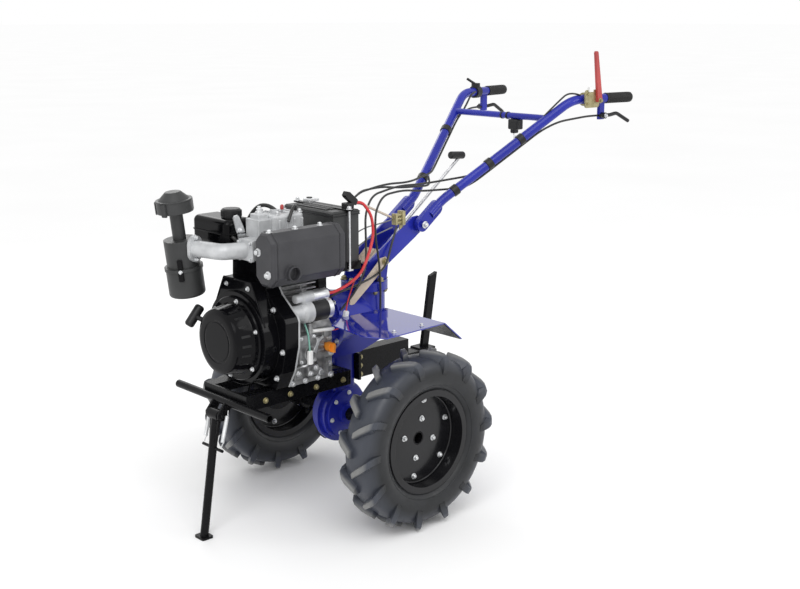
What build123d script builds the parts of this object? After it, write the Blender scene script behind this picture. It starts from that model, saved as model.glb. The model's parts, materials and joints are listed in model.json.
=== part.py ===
"""Power tiller: a two-wheeled walking tractor with an air-cooled diesel engine.

X points forward, Y to the machine's left, Z up, in millimetres.
Parts are drawn with the axle above the origin; the export moves them so that
the origin lies on the ground in the middle of the length.
"""
import os
from math import atan2, cos, degrees, hypot, pi, radians, sin, sqrt, tan

from build123d import *

# Fits and clearances
running_fit = 0.1
seat_gap = 0.3
moving_gap = 6.0

# Wheels
tyre_radius = 240.0
tyre_width = 116.0
track = 600.0
carcass_radius = 224.0
lug_count = 14
lug_width = 22.0
lug_sweep = 40.0
lug_inner = 3.0
lug_root = 22.0
lug_top = sqrt(tyre_radius**2 - (lug_sweep + lug_width / 2) ** 2)
shoulder_step = 3.0
bead_gap = 2.0
rim_flange_radius = 139.0
bead_radius = 127.0
rim_width = 90.0
rim_sheet = 5.0
flange_sheet = 4.0
disc_sheet = 5.0
hub_flange_radius = 64.0
hub_flange_sheet = 8.0
hub_tube_radius = 27.0
shaft_across_flats = 36.0
shaft_length = 110.0
journal_radius = 18.0
hub_bore_radius = 14.5
hub_bore_depth = 60.0

# Gearbox; the left hub is slid further out, so the gearbox sits right of the middle
mid_y = -15.0
axle_z = tyre_radius
column_half_x = 38.0
column_half_y = 25.0
drum_radius = 78.0
drum_flange_radius = 87.0
drum_flange_sheet = 14.0
cover_radius = 70.0
cover_thickness = 10.0
boss_radius = 32.0
boss_length = 10.0
block_top = 462.0
block_height = 50.0
block_half_y = 46.0
gear_head_x = -95.0
gear_head_radius = 58.0
gear_head_top = 590.0
gear_flange = 8.0
gear_base = 8.0
gear_lid_thickness = 14.0
drum_half_y = column_half_y
cover_face = drum_half_y + cover_thickness
boss_face = cover_face + boss_length

# Engine bed, bumper and parking stand
bed_z = 385.0
rail_offset = 90.0
rail_height = 40.0
rail_flange = 40.0
rail_sheet = 5.0
rail_front_x = 380.0
cross_plate = 8.0
front_plate = 6.0
front_plate_height = 35.0
bumper_radius = 10.5
bumper_half_y = 201.0
bumper_bore_radius = 8.0
bumper_bore_depth = 45.0
bumper_z = 357.0
stand_pivot_x = 416.0
stand_pivot_z = 325.0
stand_pin_radius = 6.0
stand_tube_radius = 11.0
stand_eye_radius = 15.0
stand_eye_width = 41.0
stand_plate_sheet = 8.0
stand_plate_drop = 105.0
stand_lug_sheet = 6.0
stand_lug_gap = 1.5
foot_x = 467.0
foot_half_x = 17.0
foot_half_y = 20.0
foot_sheet = 6.0
spring_radius = 5.5
spring_drop = 88.0
spring_hook_radius = 4.0
bumper_x = rail_front_x + front_plate + bumper_radius - 1.5

# Engine
crank_z = bed_z + 129.0
clutch_rear_x = 60.0
clutch_length = 45.0
clutch_radius = 84.0
clutch_flange = 10.0
crankcase_length = 150.0
crankcase_half_y = 100.0
crankcase_height = 215.0
crankcase_waist = 80.0
shroud_depth = 45.0
shroud_ring_depth = 45.0
shroud_ring_radius = 122.0
shroud_half_y = 150.0
duct_half_y = 70.0
recoil_depth = 61.0
recoil_radius = 85.0
recoil_flange_radius = 110.0
recoil_flange_sheet = 8.0
pull_length = 62.0
pull_radius = 13.0
pull_stem_radius = 6.5
barrel_height = 120.0
barrel_half = 50.0
fin_reach = 16.0
fin_count = 8
head_height = 50.0
head_half_y = 66.0
rocker_height = 55.0
muffler_size = (237.0, 75.0, 135.0)
muffler_rear_x = 110.0
muffler_drop = 52.0
muffler_gap = 24.0
muffler_chamfer = 22.0
muffler_bevel = 7.0
outlet_radius = 20.0
outlet_reach = 11.0
tank_size = (86.0, 155.0, 73.0)
tank_gap = 7.0
tank_near_y = -40.0
tank_round = 16.0
tank_lift = 27.0
cap_radius = 26.0
cap_height = 23.0
cleaner_place = (399.0, -148.0, 615.0)
cleaner_lean = 7.0
cleaner_radius = 47.0
cleaner_height = 150.0
canister_radius = 42.0
riser_radius = 17.0
riser_height = 72.0
dust_cap_radius = 46.0
dust_cap_height = 30.0
dust_dome_radius = 20.0
dust_dome_height = 22.0
intake_radius = 21.0
intake_flange = 9.0
starter_y = 100.0
starter_radius = 29.0
starter_length = 92.0
starter_z = crank_z + 66.0
switch_radius = 16.0
clutch_front_x = clutch_rear_x + clutch_length
crankcase_front_x = clutch_front_x + crankcase_length
crankcase_top = bed_z + crankcase_height
ring_rear_x = crankcase_front_x + shroud_depth
shroud_front_x = ring_rear_x + shroud_ring_depth
recoil_front_x = shroud_front_x + recoil_depth
barrel_top = crankcase_top + barrel_height
head_top = barrel_top + head_height
rocker_top = head_top + rocker_height
shroud_top = barrel_top - 5.0
cylinder_x = crankcase_front_x - barrel_half - 5.0
tank_base_z = shroud_top + tank_lift
tank_top_z = tank_base_z + tank_size[2]
muffler_y = mid_y + head_half_y + muffler_gap
muffler_z = barrel_top - muffler_drop
port_z = barrel_top + head_height / 2

# Battery
battery_size = (88.0, 200.0, 142.0)
battery_lid = 14.0
battery_lip = 2.0
post_height = 14.0
battery_rear_x = 12.0
battery_base_z = 668.0
tray_sheet = 4.0
tray_wall = 18.0
hold_rod_radius = 3.0
lead_radius = 4.0
battery_top = battery_base_z + battery_size[2] + battery_lid

# Mudguards
guard_z = 545.0
guard_sheet = 3.0
guard_inner = 112.0
guard_outer = 346.0
guard_front_x = 178.0
guard_rear_x = -60.0
flap_length = 66.0
flap_drop = 54.0

# Hitch
hitch_z = 335.0
hitch_half_y = 22.0
hitch_height = 50.0
hitch_top = 405.0
hitch_step_x = -246.0
hitch_plate = 8.0
hitch_pin_radius = 8.0
depth_bar_x = -326.0
depth_bar_lean = 9.0
depth_bar_width = 25.0
depth_bar_half_y = 6.0
depth_bar_span = (150.0, 588.0)
socket_wall = 14.0
socket_rise = 4.0
hitch_pin_x = hitch_step_x - 26.0

# Handlebar
pivot_x = -262.0
pivot_z = 745.0
pivot_bolt_radius = 8.0
cheek_face = 44.0
cheek_sheet = 6.0
arm_offset = 57.0
arm_radius = 13.5
arm_wall = 2.5
eye_start = 40.0
eye_end = 100.0
eye_radius = 21.0
eye_half_y = 7.0
bend_x = -718.0
bend_offset = 219.0
bend_radius = 110.0
grip_z = 1080.0
grip_end_x = -953.0
grip_end_offset = 257.0
grip_length = 104.0
grip_radius = 16.0
crossbar_x = -647.0
crossbar_radius = 9.5
strut_x = -832.0
strut_length = 62.0
clutch_x = -772.0
clutch_plate_half = 33.0
clutch_plate_sheet = 5.0
clutch_lever_sheet = 8.0
clutch_top = 1219.0
throttle_x = -785.0
clamp_wall = 6.0
clamp_width = 24.0
shift_rod_radius = 5.0
knob_radius = 11.0
knob_length = 56.0
knob_rear_x = pivot_x - 228.0
knob_z = pivot_z + 173.0
cable_radius = 3.0

foot_front_x = foot_x + foot_half_x
axle_x = -(grip_end_x + foot_front_x) / 2


def box(x0, x1, y0, y1, z0, z1):
    """A box between two corners, given in any order."""
    middle = Pos((x0 + x1) / 2, (y0 + y1) / 2, (z0 + z1) / 2)
    return middle * Box(abs(x1 - x0), abs(y1 - y0), abs(z1 - z0))


def mid_box(x0, x1, half_y, z0, z1):
    """A box that is even about the gearbox's middle plane."""
    return box(x0, x1, mid_y - half_y, mid_y + half_y, z0, z1)


def rod(start, end, radius):
    """A round bar from one point to another."""
    a = Vector(start)
    b = Vector(end)
    return Solid.make_cylinder(radius, (b - a).length, Plane(origin=a, z_dir=b - a))


def rod_x(x0, x1, y, z, radius):
    return rod((x0, y, z), (x1, y, z), radius)


def rod_y(x, y0, y1, z, radius):
    return rod((x, y0, z), (x, y1, z), radius)


def rod_z(x, y, z0, z1, radius):
    return rod((x, y, z0), (x, y, z1), radius)


def outline(points):
    """A flat face inside a closed run of straight lines."""
    return make_face(Polyline(*points, close=True))


def prism_x(points, x0, x1):
    """A (y, z) outline drawn out along X."""
    return extrude(Plane.YZ.offset(x0) * outline(points), x1 - x0)


def prism_y(points, y0, y1):
    """An (x, z) outline drawn out along Y."""
    low, high = sorted((y0, y1))
    return extrude(Plane.XZ.offset(-high) * outline(points), high - low)


def prism_z(points, z0, z1):
    """An (x, y) outline drawn out along Z."""
    return extrude(Plane.XY.offset(z0) * outline(points), z1 - z0)


def even(half):
    """Closes a right-hand (offset, z) outline about the gearbox's middle plane."""
    return [(mid_y + y, z) for y, z in half] + [(mid_y - y, z) for y, z in reversed(half)]


def bent_rod(points, radius, bend, bore=0.0):
    """A round bar or tube along straight runs joined by arcs."""
    path = FilletPolyline(*points, radius=bend)
    section = Circle(radius)
    if bore:
        section -= Circle(bore)
    return sweep(Plane(origin=path @ 0, z_dir=path % 0) * section, path=path)


def cable(points, radius):
    """A flexible cable along a route, each corner rounded as far as its two runs allow."""
    route = [Vector(point) for point in points]
    bends = []
    for before, here, after in zip(route, route[1:], route[2:]):
        turn = (here - before).get_angle(after - here)
        shorter = min((here - before).length, (after - here).length)
        bends.append(0.45 * shorter / tan(radians(turn / 2)))
    return bent_rod(route, radius, bends)


def turned(points, y_centre):
    """A (y, radius) outline turned about the axle's line."""
    face = outline([(0, y_centre + y, axle_z + r) for y, r in points])
    return revolve(face, Axis((0, 0, axle_z), (0, 1, 0)), 360)


def mirrored(rows):
    """Adds the other half of a (y, radius) outline."""
    return rows + [(-y, r) for y, r in reversed(rows)]


def wheel_y(side):
    return side * track / 2


def lug(side, half):
    """One flat-topped bar of the tread, from the middle of the crown out over the shoulder."""
    near = half * lug_inner
    outer = half * tyre_width / 2
    tip = lug_width / 2
    plan = [(lug_sweep - tip, near), (lug_sweep + tip, near), (tip, outer), (-tip, outer)]
    shifted = [(x, wheel_y(side) + y) for x, y in plan]
    return prism_z(shifted, axle_z + carcass_radius - lug_root, axle_z + lug_top)


def tyre(side):
    """The tyre: one ring from the bead to the crown, with its lugs; one lug's corner is straight down."""
    wall = tyre_width / 2 - shoulder_step
    seat = rim_width / 2 - flange_sheet
    flange = rim_flange_radius + bead_gap
    rows = [(seat, bead_radius), (seat, flange), (wall, flange), (wall, carcass_radius)]
    carcass = turned(mirrored(rows), wheel_y(side))
    pitch = 360 / lug_count
    axis = Axis((0, 0, axle_z), (0, 1, 0))
    upright = 180 - degrees(atan2(lug_sweep + lug_width / 2, lug_top))
    lugs = []
    for half in (1, -1):
        bar = lug(side, half)
        start = upright if half > 0 else upright + pitch / 2
        lugs += [bar.rotate(axis, start + step * pitch) for step in range(lug_count)]
    return carcass.fuse(*lugs)


def rim(side):
    """The rolled rim with the wheel disc in its middle."""
    half = rim_width / 2
    seat = half - flange_sheet
    inner = bead_radius - rim_sheet
    rows = [(half, inner), (half, rim_flange_radius), (seat, rim_flange_radius), (seat, bead_radius)]
    barrel = turned(mirrored(rows), wheel_y(side))
    plate = [(disc_sheet / 2, journal_radius), (disc_sheet / 2, bead_radius - rim_sheet / 2)]
    return barrel + turned(mirrored(plate), wheel_y(side))


def hub(side):
    """The half-shaft with the hub tube and its flange; it turns with the wheel."""
    disc_back = wheel_y(side) - side * disc_sheet / 2
    inner = mid_y + side * (drum_half_y + 1)
    shaft_start = mid_y + side * (boss_face + moving_gap)
    shape = rod_y(0, inner, shaft_start, axle_z, journal_radius)
    hexagon = RegularPolygon(shaft_across_flats / 2, 6, major_radius=False)
    shape += extrude(Plane((0, shaft_start, axle_z), z_dir=(0, side, 0)) * hexagon, shaft_length)
    shape += rod_y(0, shaft_start + side * (shaft_length - 20), disc_back, axle_z, hub_tube_radius)
    shape += rod_y(0, disc_back - side * hub_flange_sheet, disc_back, axle_z, hub_flange_radius)
    disc_front = disc_back + side * disc_sheet
    shape += rod_y(0, disc_back, disc_front, axle_z, journal_radius)
    return shape - rod_y(0, disc_front - side * hub_bore_depth, disc_front + side, axle_z, hub_bore_radius)


def gearbox_case():
    """The casting: final drive drum, column, upper block, cone and gear head."""
    shape = rod_y(0, mid_y - drum_half_y, mid_y + drum_half_y, axle_z, drum_radius)
    half = drum_flange_sheet / 2
    shape += rod_y(0, mid_y - half, mid_y + half, axle_z, drum_flange_radius)
    column = mid_box(-column_half_x, column_half_x, column_half_y, axle_z, block_top)
    shape += fillet(column.edges().filter_by(Axis.Z), 9)
    low = block_top - block_height
    rear = gear_head_x - 30
    view = [(clutch_rear_x, low), (clutch_rear_x, block_top), (rear, block_top), (rear, low + 26),
            (-column_half_x, low)]
    shape += prism_y(view, mid_y - block_half_y, mid_y + block_half_y)
    cone = Plane(origin=(clutch_rear_x, mid_y, crank_z), z_dir=(-1, 0, 0))
    shape += Solid.make_cone(clutch_radius, gear_head_radius - 4, clutch_rear_x - gear_head_x, cone)
    base = block_top - 4
    wide = gear_head_radius + gear_flange
    shape += rod_z(gear_head_x, mid_y, base, gear_head_top, gear_head_radius)
    shape += rod_z(gear_head_x, mid_y, base, block_top + gear_base, wide)
    shape += rod_z(gear_head_x, mid_y, gear_head_top - 12, gear_head_top, wide)
    return shape


def gear_head_cover():
    """The bolted lid on the gear head."""
    radius = gear_head_radius + gear_flange
    lid = rod_z(gear_head_x, mid_y, gear_head_top, gear_head_top + gear_lid_thickness, radius)
    return chamfer(lid.edges().group_by(Axis.Z)[-1], 3)


def final_drive_covers():
    """The round side covers with the bearing bosses of the half-shafts."""
    covers = []
    for side in (1, -1):
        shape = rod_y(0, mid_y + side * drum_half_y, mid_y + side * cover_face, axle_z, cover_radius)
        shape += rod_y(0, mid_y + side * cover_face, mid_y + side * boss_face, axle_z, boss_radius)
        clear = column_half_x + 2
        shape -= box(-clear, clear, mid_y, mid_y + side * boss_face, axle_z + cover_radius + 4, block_top)
        covers.append(shape - rod_y(0, mid_y, mid_y + side * 80, axle_z, journal_radius + running_fit))
    return Compound(covers)


def clutch_housing():
    """The bell between gearbox and engine."""
    shape = rod_x(clutch_rear_x, clutch_front_x, mid_y, crank_z, clutch_radius)
    return shape + rod_x(clutch_rear_x, clutch_rear_x + 12, mid_y, crank_z, clutch_radius + clutch_flange)


def frame_rail(side):
    """An angle rail that carries the engine."""
    outer = mid_y + side * (rail_offset + rail_sheet / 2)
    rear_x = column_half_x + cross_plate
    web = box(rear_x, rail_front_x, outer, outer - side * rail_sheet, bed_z - rail_height, bed_z)
    return web + box(rear_x, rail_front_x, outer, outer - side * rail_flange, bed_z - rail_sheet, bed_z)


def frame_cross_plate():
    """The plate that ties the rails to the gearbox column."""
    half = rail_offset + rail_sheet / 2
    return mid_box(column_half_x, column_half_x + cross_plate, half, bed_z - rail_height, bed_z)


def front_bumper():
    """The bumper tube with the front plate and the stand's lugs and pin."""
    shape = rod_y(bumper_x, mid_y - bumper_half_y, mid_y + bumper_half_y, bumper_z, bumper_radius)
    half = rail_offset + rail_sheet / 2
    shape += mid_box(rail_front_x, rail_front_x + front_plate, half, bed_z - front_plate_height, bed_z)
    inner = stand_eye_width / 2 + stand_lug_gap
    x, z = stand_pivot_x, stand_pivot_z
    back = rail_front_x + 2
    lug_view = [(back, bumper_z + 6), (back, bumper_z - 6), (x - 13, z - 7), (x - 6, z - 13),
                (x + 6, z - 13), (x + 13, z - 6), (x + 13, z + 6), (bumper_x + 6, bumper_z + 8)]
    for side in (1, -1):
        shape += prism_y(lug_view, mid_y + side * inner, mid_y + side * (inner + stand_lug_sheet))
        end = mid_y + side * bumper_half_y
        shape -= rod_y(bumper_x, end - side * bumper_bore_depth, end + side, bumper_z, bumper_bore_radius)
    reach = inner + stand_lug_sheet + 3
    return shape + rod_y(x, mid_y - reach, mid_y + reach, z, stand_pin_radius)


def stand_lean():
    return atan2(foot_x - stand_pivot_x, stand_pivot_z)


def spring_y(side):
    reach = stand_eye_width / 2 + stand_lug_gap + stand_lug_sheet + 3
    return mid_y + side * (reach + spring_radius + 1)


def spring_low():
    """Place of the pin on the leg that holds the springs."""
    return stand_pivot_x + spring_drop * sin(stand_lean()), stand_pivot_z - spring_drop * cos(stand_lean())


def front_stand():
    """The parking leg with its eye, spring pin and foot plate."""
    lean = stand_lean()
    leg_end = (foot_x - foot_sheet * sin(lean), mid_y, foot_sheet - 2)
    shape = rod((stand_pivot_x, mid_y, stand_pivot_z), leg_end, stand_tube_radius)
    half = stand_eye_width / 2
    shape += rod_y(stand_pivot_x, mid_y - half, mid_y + half, stand_pivot_z, stand_eye_radius)
    leg_plane = Plane((stand_pivot_x, mid_y, stand_pivot_z), x_dir=(0, 1, 0), z_dir=(cos(lean), 0, sin(lean)))
    narrow = stand_tube_radius - 1
    plate = [(-half, 0), (half, 0), (narrow, -stand_plate_drop), (-narrow, -stand_plate_drop)]
    shape += extrude(leg_plane * outline(plate), stand_plate_sheet / 2, both=True)
    foot = mid_box(foot_x - foot_half_x, foot_front_x, foot_half_y, 0, foot_sheet)
    shape += fillet(foot.edges().filter_by(Axis.Z), 6)
    hook_x, hook_z = spring_low()
    reach = abs(spring_y(1) - mid_y) + spring_radius
    shape += rod_y(hook_x, mid_y - reach, mid_y + reach, hook_z, spring_hook_radius)
    bore = stand_pin_radius + running_fit
    return shape - rod_y(stand_pivot_x, mid_y - 2 * half, mid_y + 2 * half, stand_pivot_z, bore)


def stand_springs():
    """The two springs of the stand, as plain bars."""
    x, z = spring_low()
    springs = []
    for side in (1, -1):
        low = (x, spring_y(side), z + spring_hook_radius + seat_gap)
        high = (bumper_x + 8, spring_y(side), bumper_z - bumper_radius - 5)
        springs.append(rod(low, high, spring_radius))
    return Compound(springs)


def crankcase():
    """The aluminium crankcase with sump flange, side bosses and front flange."""
    wall = crankcase_half_y - 6
    half = [(wall, bed_z), (wall, crank_z + 11), (crankcase_waist, crank_z + 31),
            (crankcase_waist, crankcase_top)]
    shape = prism_x(even(half), clutch_front_x, crankcase_front_x)
    shape += mid_box(clutch_front_x, crankcase_front_x, crankcase_half_y, bed_z, bed_z + 12)
    shape += mid_box(crankcase_front_x - 8, crankcase_front_x, crankcase_half_y, bed_z, crank_z + 11)
    for rib in range(4):
        x = clutch_front_x + 18 + rib * 32
        shape += mid_box(x, x + 5, crankcase_half_y, bed_z, bed_z + 52)
    return shape


def fan_shroud():
    """The pressed housing round the flywheel fan, with the duct up to the cylinder."""
    low = bed_z + 3
    lobe_top = crank_z + 63
    half = [(crankcase_half_y + 3, low), (shroud_half_y - 20, low + 48), (shroud_half_y - 2, low + 115),
            (shroud_half_y, lobe_top - 8), (shroud_half_y - 6, lobe_top + 4),
            (duct_half_y + 14, lobe_top + 52), (duct_half_y + 2, lobe_top + 70),
            (duct_half_y - 2, shroud_top)]
    shape = prism_x(even(half), crankcase_front_x, ring_rear_x)
    shape += rod_x(ring_rear_x, shroud_front_x, mid_y, crank_z, shroud_ring_radius)
    front = [(shroud_ring_radius - 8, crank_z + 42), (duct_half_y - 12, shroud_top - 48)]
    return shape + prism_x(even(front), ring_rear_x, shroud_front_x - 8)


def recoil_starter():
    """The round starter cover in front of the fan."""
    step = shroud_front_x + recoil_flange_sheet
    shape = rod_x(shroud_front_x, step, mid_y, crank_z, recoil_flange_radius)
    base = Plane(origin=(step, mid_y, crank_z), z_dir=(1, 0, 0))
    dome = Solid.make_cone(recoil_radius + 7, recoil_radius, recoil_front_x - step, base)
    return shape + fillet(dome.edges().group_by(Axis.X)[-1], 9)


def recoil_handle():
    """The pull handle of the starter rope."""
    x = recoil_front_x - 12
    grip_y = mid_y - recoil_radius - 27
    z = crank_z + 46
    stem = rod((x - 12, mid_y - recoil_radius + 6, z - 12), (x, grip_y, z), pull_stem_radius)
    half = Vector(-0.6, 0.1, 0.8) * (pull_length / 2)
    middle = Vector(x, grip_y - 2, z)
    bar = rod(middle - half, middle + half, pull_radius)
    return fillet(bar.edges(), pull_radius * 0.6) + stem - recoil_starter()


def cylinder_barrel():
    """The finned barrel."""
    x0, x1 = cylinder_x - barrel_half, crankcase_front_x
    shape = mid_box(x0, x1, barrel_half - 2, crankcase_top, barrel_top)
    pitch = barrel_height / (fin_count + 1)
    for level in range(fin_count):
        z = crankcase_top + (level + 1) * pitch
        shape += mid_box(x0 - fin_reach, x1, barrel_half + fin_reach, z - 2, z + 2)
    return shape


def cylinder_head():
    """The head with its rocker cover."""
    x0 = cylinder_x - barrel_half - fin_reach + 4
    shape = mid_box(x0, crankcase_front_x, head_half_y, barrel_top, head_top)
    rocker = mid_box(cylinder_x - 50, cylinder_x + 50, head_half_y - 20, head_top, rocker_top)
    rocker = fillet(rocker.edges().filter_by(Axis.Z), 14)
    shape += fillet(rocker.edges().group_by(Axis.Z)[-1], 8)
    shape += rod_z(cylinder_x + 20, mid_y + 10, rocker_top - 2, rocker_top + 10, 12)
    return shape


def fuel_tank():
    """The tank over the fan housing, on the right."""
    dx, dy, _ = tank_size
    x0 = crankcase_front_x + tank_gap
    body = box(x0, x0 + dx, tank_near_y - dy, tank_near_y, tank_base_z, tank_top_z)
    return fillet(body.edges(), tank_round)


def fuel_cap():
    """The filler cap."""
    x = crankcase_front_x + tank_gap + tank_size[0] / 2 - 4
    y = tank_near_y - cap_radius - tank_round
    shape = rod_z(x, y, tank_top_z, tank_top_z + cap_height, cap_radius)
    return chamfer(shape.edges().group_by(Axis.Z)[-1], 4)


def tank_bracket():
    """The cradle that carries the tank on top of the fan housing."""
    sheet = 4
    dx, dy, _ = tank_size
    x0 = crankcase_front_x + tank_gap + 8
    shape = box(x0, x0 + dx - 24, tank_near_y - dy + 16, tank_near_y - 10, tank_base_z - sheet, tank_base_z)
    near = mid_y - duct_half_y + 30
    return shape + box(x0, ring_rear_x - 6, near, near - 26, shroud_top, tank_base_z - sheet)


def leaned(shape):
    """Moves a part drawn round the Z axis to the leaning air cleaner."""
    return Pos(*cleaner_place) * Rot(0, cleaner_lean, 0) * shape


def air_cleaner():
    """The air cleaner's canister on its oil cup, with the clamped joint."""
    joint = cleaner_height * 0.47
    cup = Solid.make_cylinder(cleaner_radius, joint + 2)
    shape = fillet(cup.edges().group_by(Axis.Z)[0], 8)
    shape += Pos(0, 0, joint) * Solid.make_cylinder(cleaner_radius + 2.5, 9)
    shape += Pos(0, 0, joint) * Solid.make_cylinder(canister_radius, cleaner_height - joint)
    return leaned(shape)


def precleaner():
    """The riser and its dust cap with the sloping lid."""
    cap_z = cleaner_height + riser_height
    shape = Pos(0, 0, cleaner_height) * Solid.make_cylinder(riser_radius, riser_height + 2)
    shape += Pos(0, 0, cap_z) * Solid.make_cylinder(dust_cap_radius, dust_cap_height)
    base = Plane(origin=(0, 0, cap_z + dust_cap_height))
    return leaned(shape + Solid.make_cone(dust_cap_radius - 3, dust_dome_radius, dust_dome_height, base))


def intake_pipe():
    """The cast pipe from the air cleaner round to the cylinder head."""
    z = port_z - 3
    bend = (shroud_front_x + 33, mid_y - 4)
    port_y = mid_y + 22
    start = Vector(cleaner_place[0] + 8, cleaner_place[1] + 12, z)
    corner = Vector(bend[0], bend[1], z)
    points = [start, corner, (crankcase_front_x + 45, port_y, z), (crankcase_front_x, port_y, z)]
    shape = bent_rod(points, intake_radius, 28)
    course = (corner - start).normalized()
    neck = Plane(start + course * (canister_radius - 16), x_dir=(0, 0, 1), z_dir=course)
    oval = SlotOverall(2 * (intake_radius + 13), 2 * (intake_radius + 3))
    shape += extrude(neck * oval, intake_flange)
    flange = intake_radius + 6
    face = crankcase_front_x
    shape += box(face, face + intake_flange, port_y - flange, port_y + flange, z - flange + 2, z + flange)
    return shape - air_cleaner() - fan_shroud()


def muffler():
    """The boxed silencer with its stub to the head and its outlet."""
    dx, dy, dz = muffler_size
    far_y = muffler_y + dy
    body = box(muffler_rear_x, muffler_rear_x + dx, muffler_y, far_y, muffler_z, muffler_z + dz)
    body = chamfer(body.edges().filter_by(Axis.X), muffler_chamfer)
    for end in (0, -1):
        body = chamfer(body.edges().group_by(Axis.X)[end], muffler_bevel)
    stub = rod_y(cylinder_x, mid_y + head_half_y, muffler_y + 2, port_z, 20)
    outlet_x = muffler_rear_x + dx - 60
    tip = far_y + outlet_reach
    outlet = rod_y(outlet_x, far_y - 8, tip, muffler_z + 32, outlet_radius)
    bore = rod_y(outlet_x, far_y - 6, tip + 2, muffler_z + 32, outlet_radius - 4)
    return body + stub + outlet - bore


def starter_motor():
    """The electric starter with its switch on top."""
    rear = crankcase_front_x - 33 - starter_length
    front = rear + starter_length
    shape = rod_x(rear, front, starter_y, starter_z, starter_radius)
    shape += rod_x(front, crankcase_front_x, starter_y, starter_z, starter_radius - 8)
    switch_z = starter_z + starter_radius + switch_radius - 7
    shape += rod_x(rear + 10, front, starter_y, switch_z, switch_radius)
    return shape + rod_x(front - 2, front + 22, starter_y, switch_z, switch_radius - 5)


def injection_pump():
    """The pump and governor cover on the side of the crankcase."""
    face = mid_y + crankcase_half_y - 6
    x = clutch_front_x + 74
    z = bed_z + 58
    shape = box(x, x + 56, face, face + 26, z, z + 76)
    shape = fillet(shape.edges().filter_by(Axis.Y), 10)
    shape += rod_y(x + 28, face + 26, face + 38, z + 30, 20)
    shape += rod_z(x + 12, face + 15, z + 76, z + 104, 9)
    return shape


def oil_filler_cap():
    """The oil filler cap on its neck."""
    face = mid_y + crankcase_half_y - 6
    x = clutch_front_x + 21
    z = crank_z - 43
    neck = rod_y(x, face, face + 12, z, 9)
    return neck + rod_y(x, face + 12, face + 28, z, 13)


def battery():
    """The battery with lid and two posts."""
    dx, dy, dz = battery_size
    x0, z0 = battery_rear_x, battery_base_z
    shape = mid_box(x0, x0 + dx, dy / 2, z0, z0 + dz)
    lid = mid_box(x0 - battery_lip, x0 + dx + battery_lip, dy / 2 + battery_lip, z0 + dz, battery_top)
    shape += chamfer(lid.edges().group_by(Axis.Z)[-1], 4)
    for side in (1, -1):
        shape += rod_z(x0 + 20, mid_y + side * (dy / 2 - 20), battery_top - 1, battery_top + post_height, 8)
    return shape


def battery_tray():
    """The tray under the battery."""
    dx, dy, _ = battery_size
    x0, z0 = battery_rear_x - tray_sheet, battery_base_z
    x1 = battery_rear_x + dx + tray_sheet
    shape = mid_box(x0, x1, dy / 2 + tray_sheet, z0 - tray_sheet, z0)
    for side in (1, -1):
        y = mid_y + side * dy / 2
        shape += box(x0, x1, y, y + side * tray_sheet, z0 - tray_sheet, z0 + tray_wall)
    return shape


def battery_post():
    """The bent bracket that carries the tray on the clutch housing."""
    x0 = clutch_rear_x + 14
    shape = mid_box(x0, clutch_front_x - 4, 38, crank_z, battery_base_z - tray_sheet)
    return shape - clutch_housing()


def battery_hold_down():
    """The strap over the battery and its two threaded rods."""
    dx, dy, _ = battery_size
    x = battery_rear_x + dx / 2 - 5
    rod_y_offset = dy / 2 + tray_sheet + hold_rod_radius + 1
    shape = mid_box(x - 8, x + 8, rod_y_offset + 6, battery_top, battery_top + 3)
    foot = battery_base_z - tray_sheet
    for side in (1, -1):
        y = mid_y + side * rod_y_offset
        shape += rod_z(x, y, foot, battery_top + 12, hold_rod_radius)
        edge = mid_y + side * (dy / 2 + tray_sheet)
        shape += box(x - 8, x + 8, edge, y + side * 5, foot, foot + tray_sheet)
    return shape


def battery_leads():
    """The lead from the battery to the starter switch."""
    edge = mid_y + battery_size[1] / 2
    x = battery_rear_x
    top = battery_top + post_height - 5
    switch_z = starter_z + starter_radius + switch_radius - 7
    switch_x = crankcase_front_x - 33 - starter_length + 10
    points = [(x + 13, edge - 20, top), (x - 22, edge - 14, top + 8), (x - 50, edge - 4, battery_top - 22),
              (x - 48, edge + 6, battery_top - 74), (x - 22, edge + 16, battery_base_z + 34),
              (x + 14, edge + 24, battery_base_z - 14), (x + 64, edge + 24, switch_z + 12),
              (switch_x - 24, starter_y + 3, switch_z), (switch_x, starter_y, switch_z)]
    return cable(points, lead_radius) - starter_motor() - battery()


def mudguard(side):
    """The bent sheet over a wheel, with its stay."""
    front, rear = guard_front_x, guard_rear_x
    tip_x, tip_z = rear - flap_length, guard_z - flap_drop
    top = guard_z + guard_sheet
    view = [(front, guard_z), (front, top), (rear - 1, top), (tip_x - 1.5, tip_z + 2.5), (tip_x, tip_z),
            (rear, guard_z)]
    plan = [(front - 66, guard_inner), (front - 11, guard_inner + 42), (front + 1, guard_outer - 50),
            (front - 27, guard_outer),
            (tip_x - 3, guard_outer - 12), (tip_x - 3, guard_inner + 96), (rear - 12, guard_inner + 20),
            (rear - 12, guard_inner)]
    cut = prism_z([(x, side * y) for x, y in plan], tip_z - 20, top + 20)
    shape = prism_y(view, side * guard_inner, side * guard_outer) & cut
    stay_outer = side * (guard_inner + 40)
    stay_inner = mid_y + side * (clutch_radius - 24)
    stay = box(clutch_rear_x + 14, clutch_front_x - 5, stay_outer, stay_inner, guard_z - 4, guard_z)
    return shape + (stay - clutch_housing())


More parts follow.
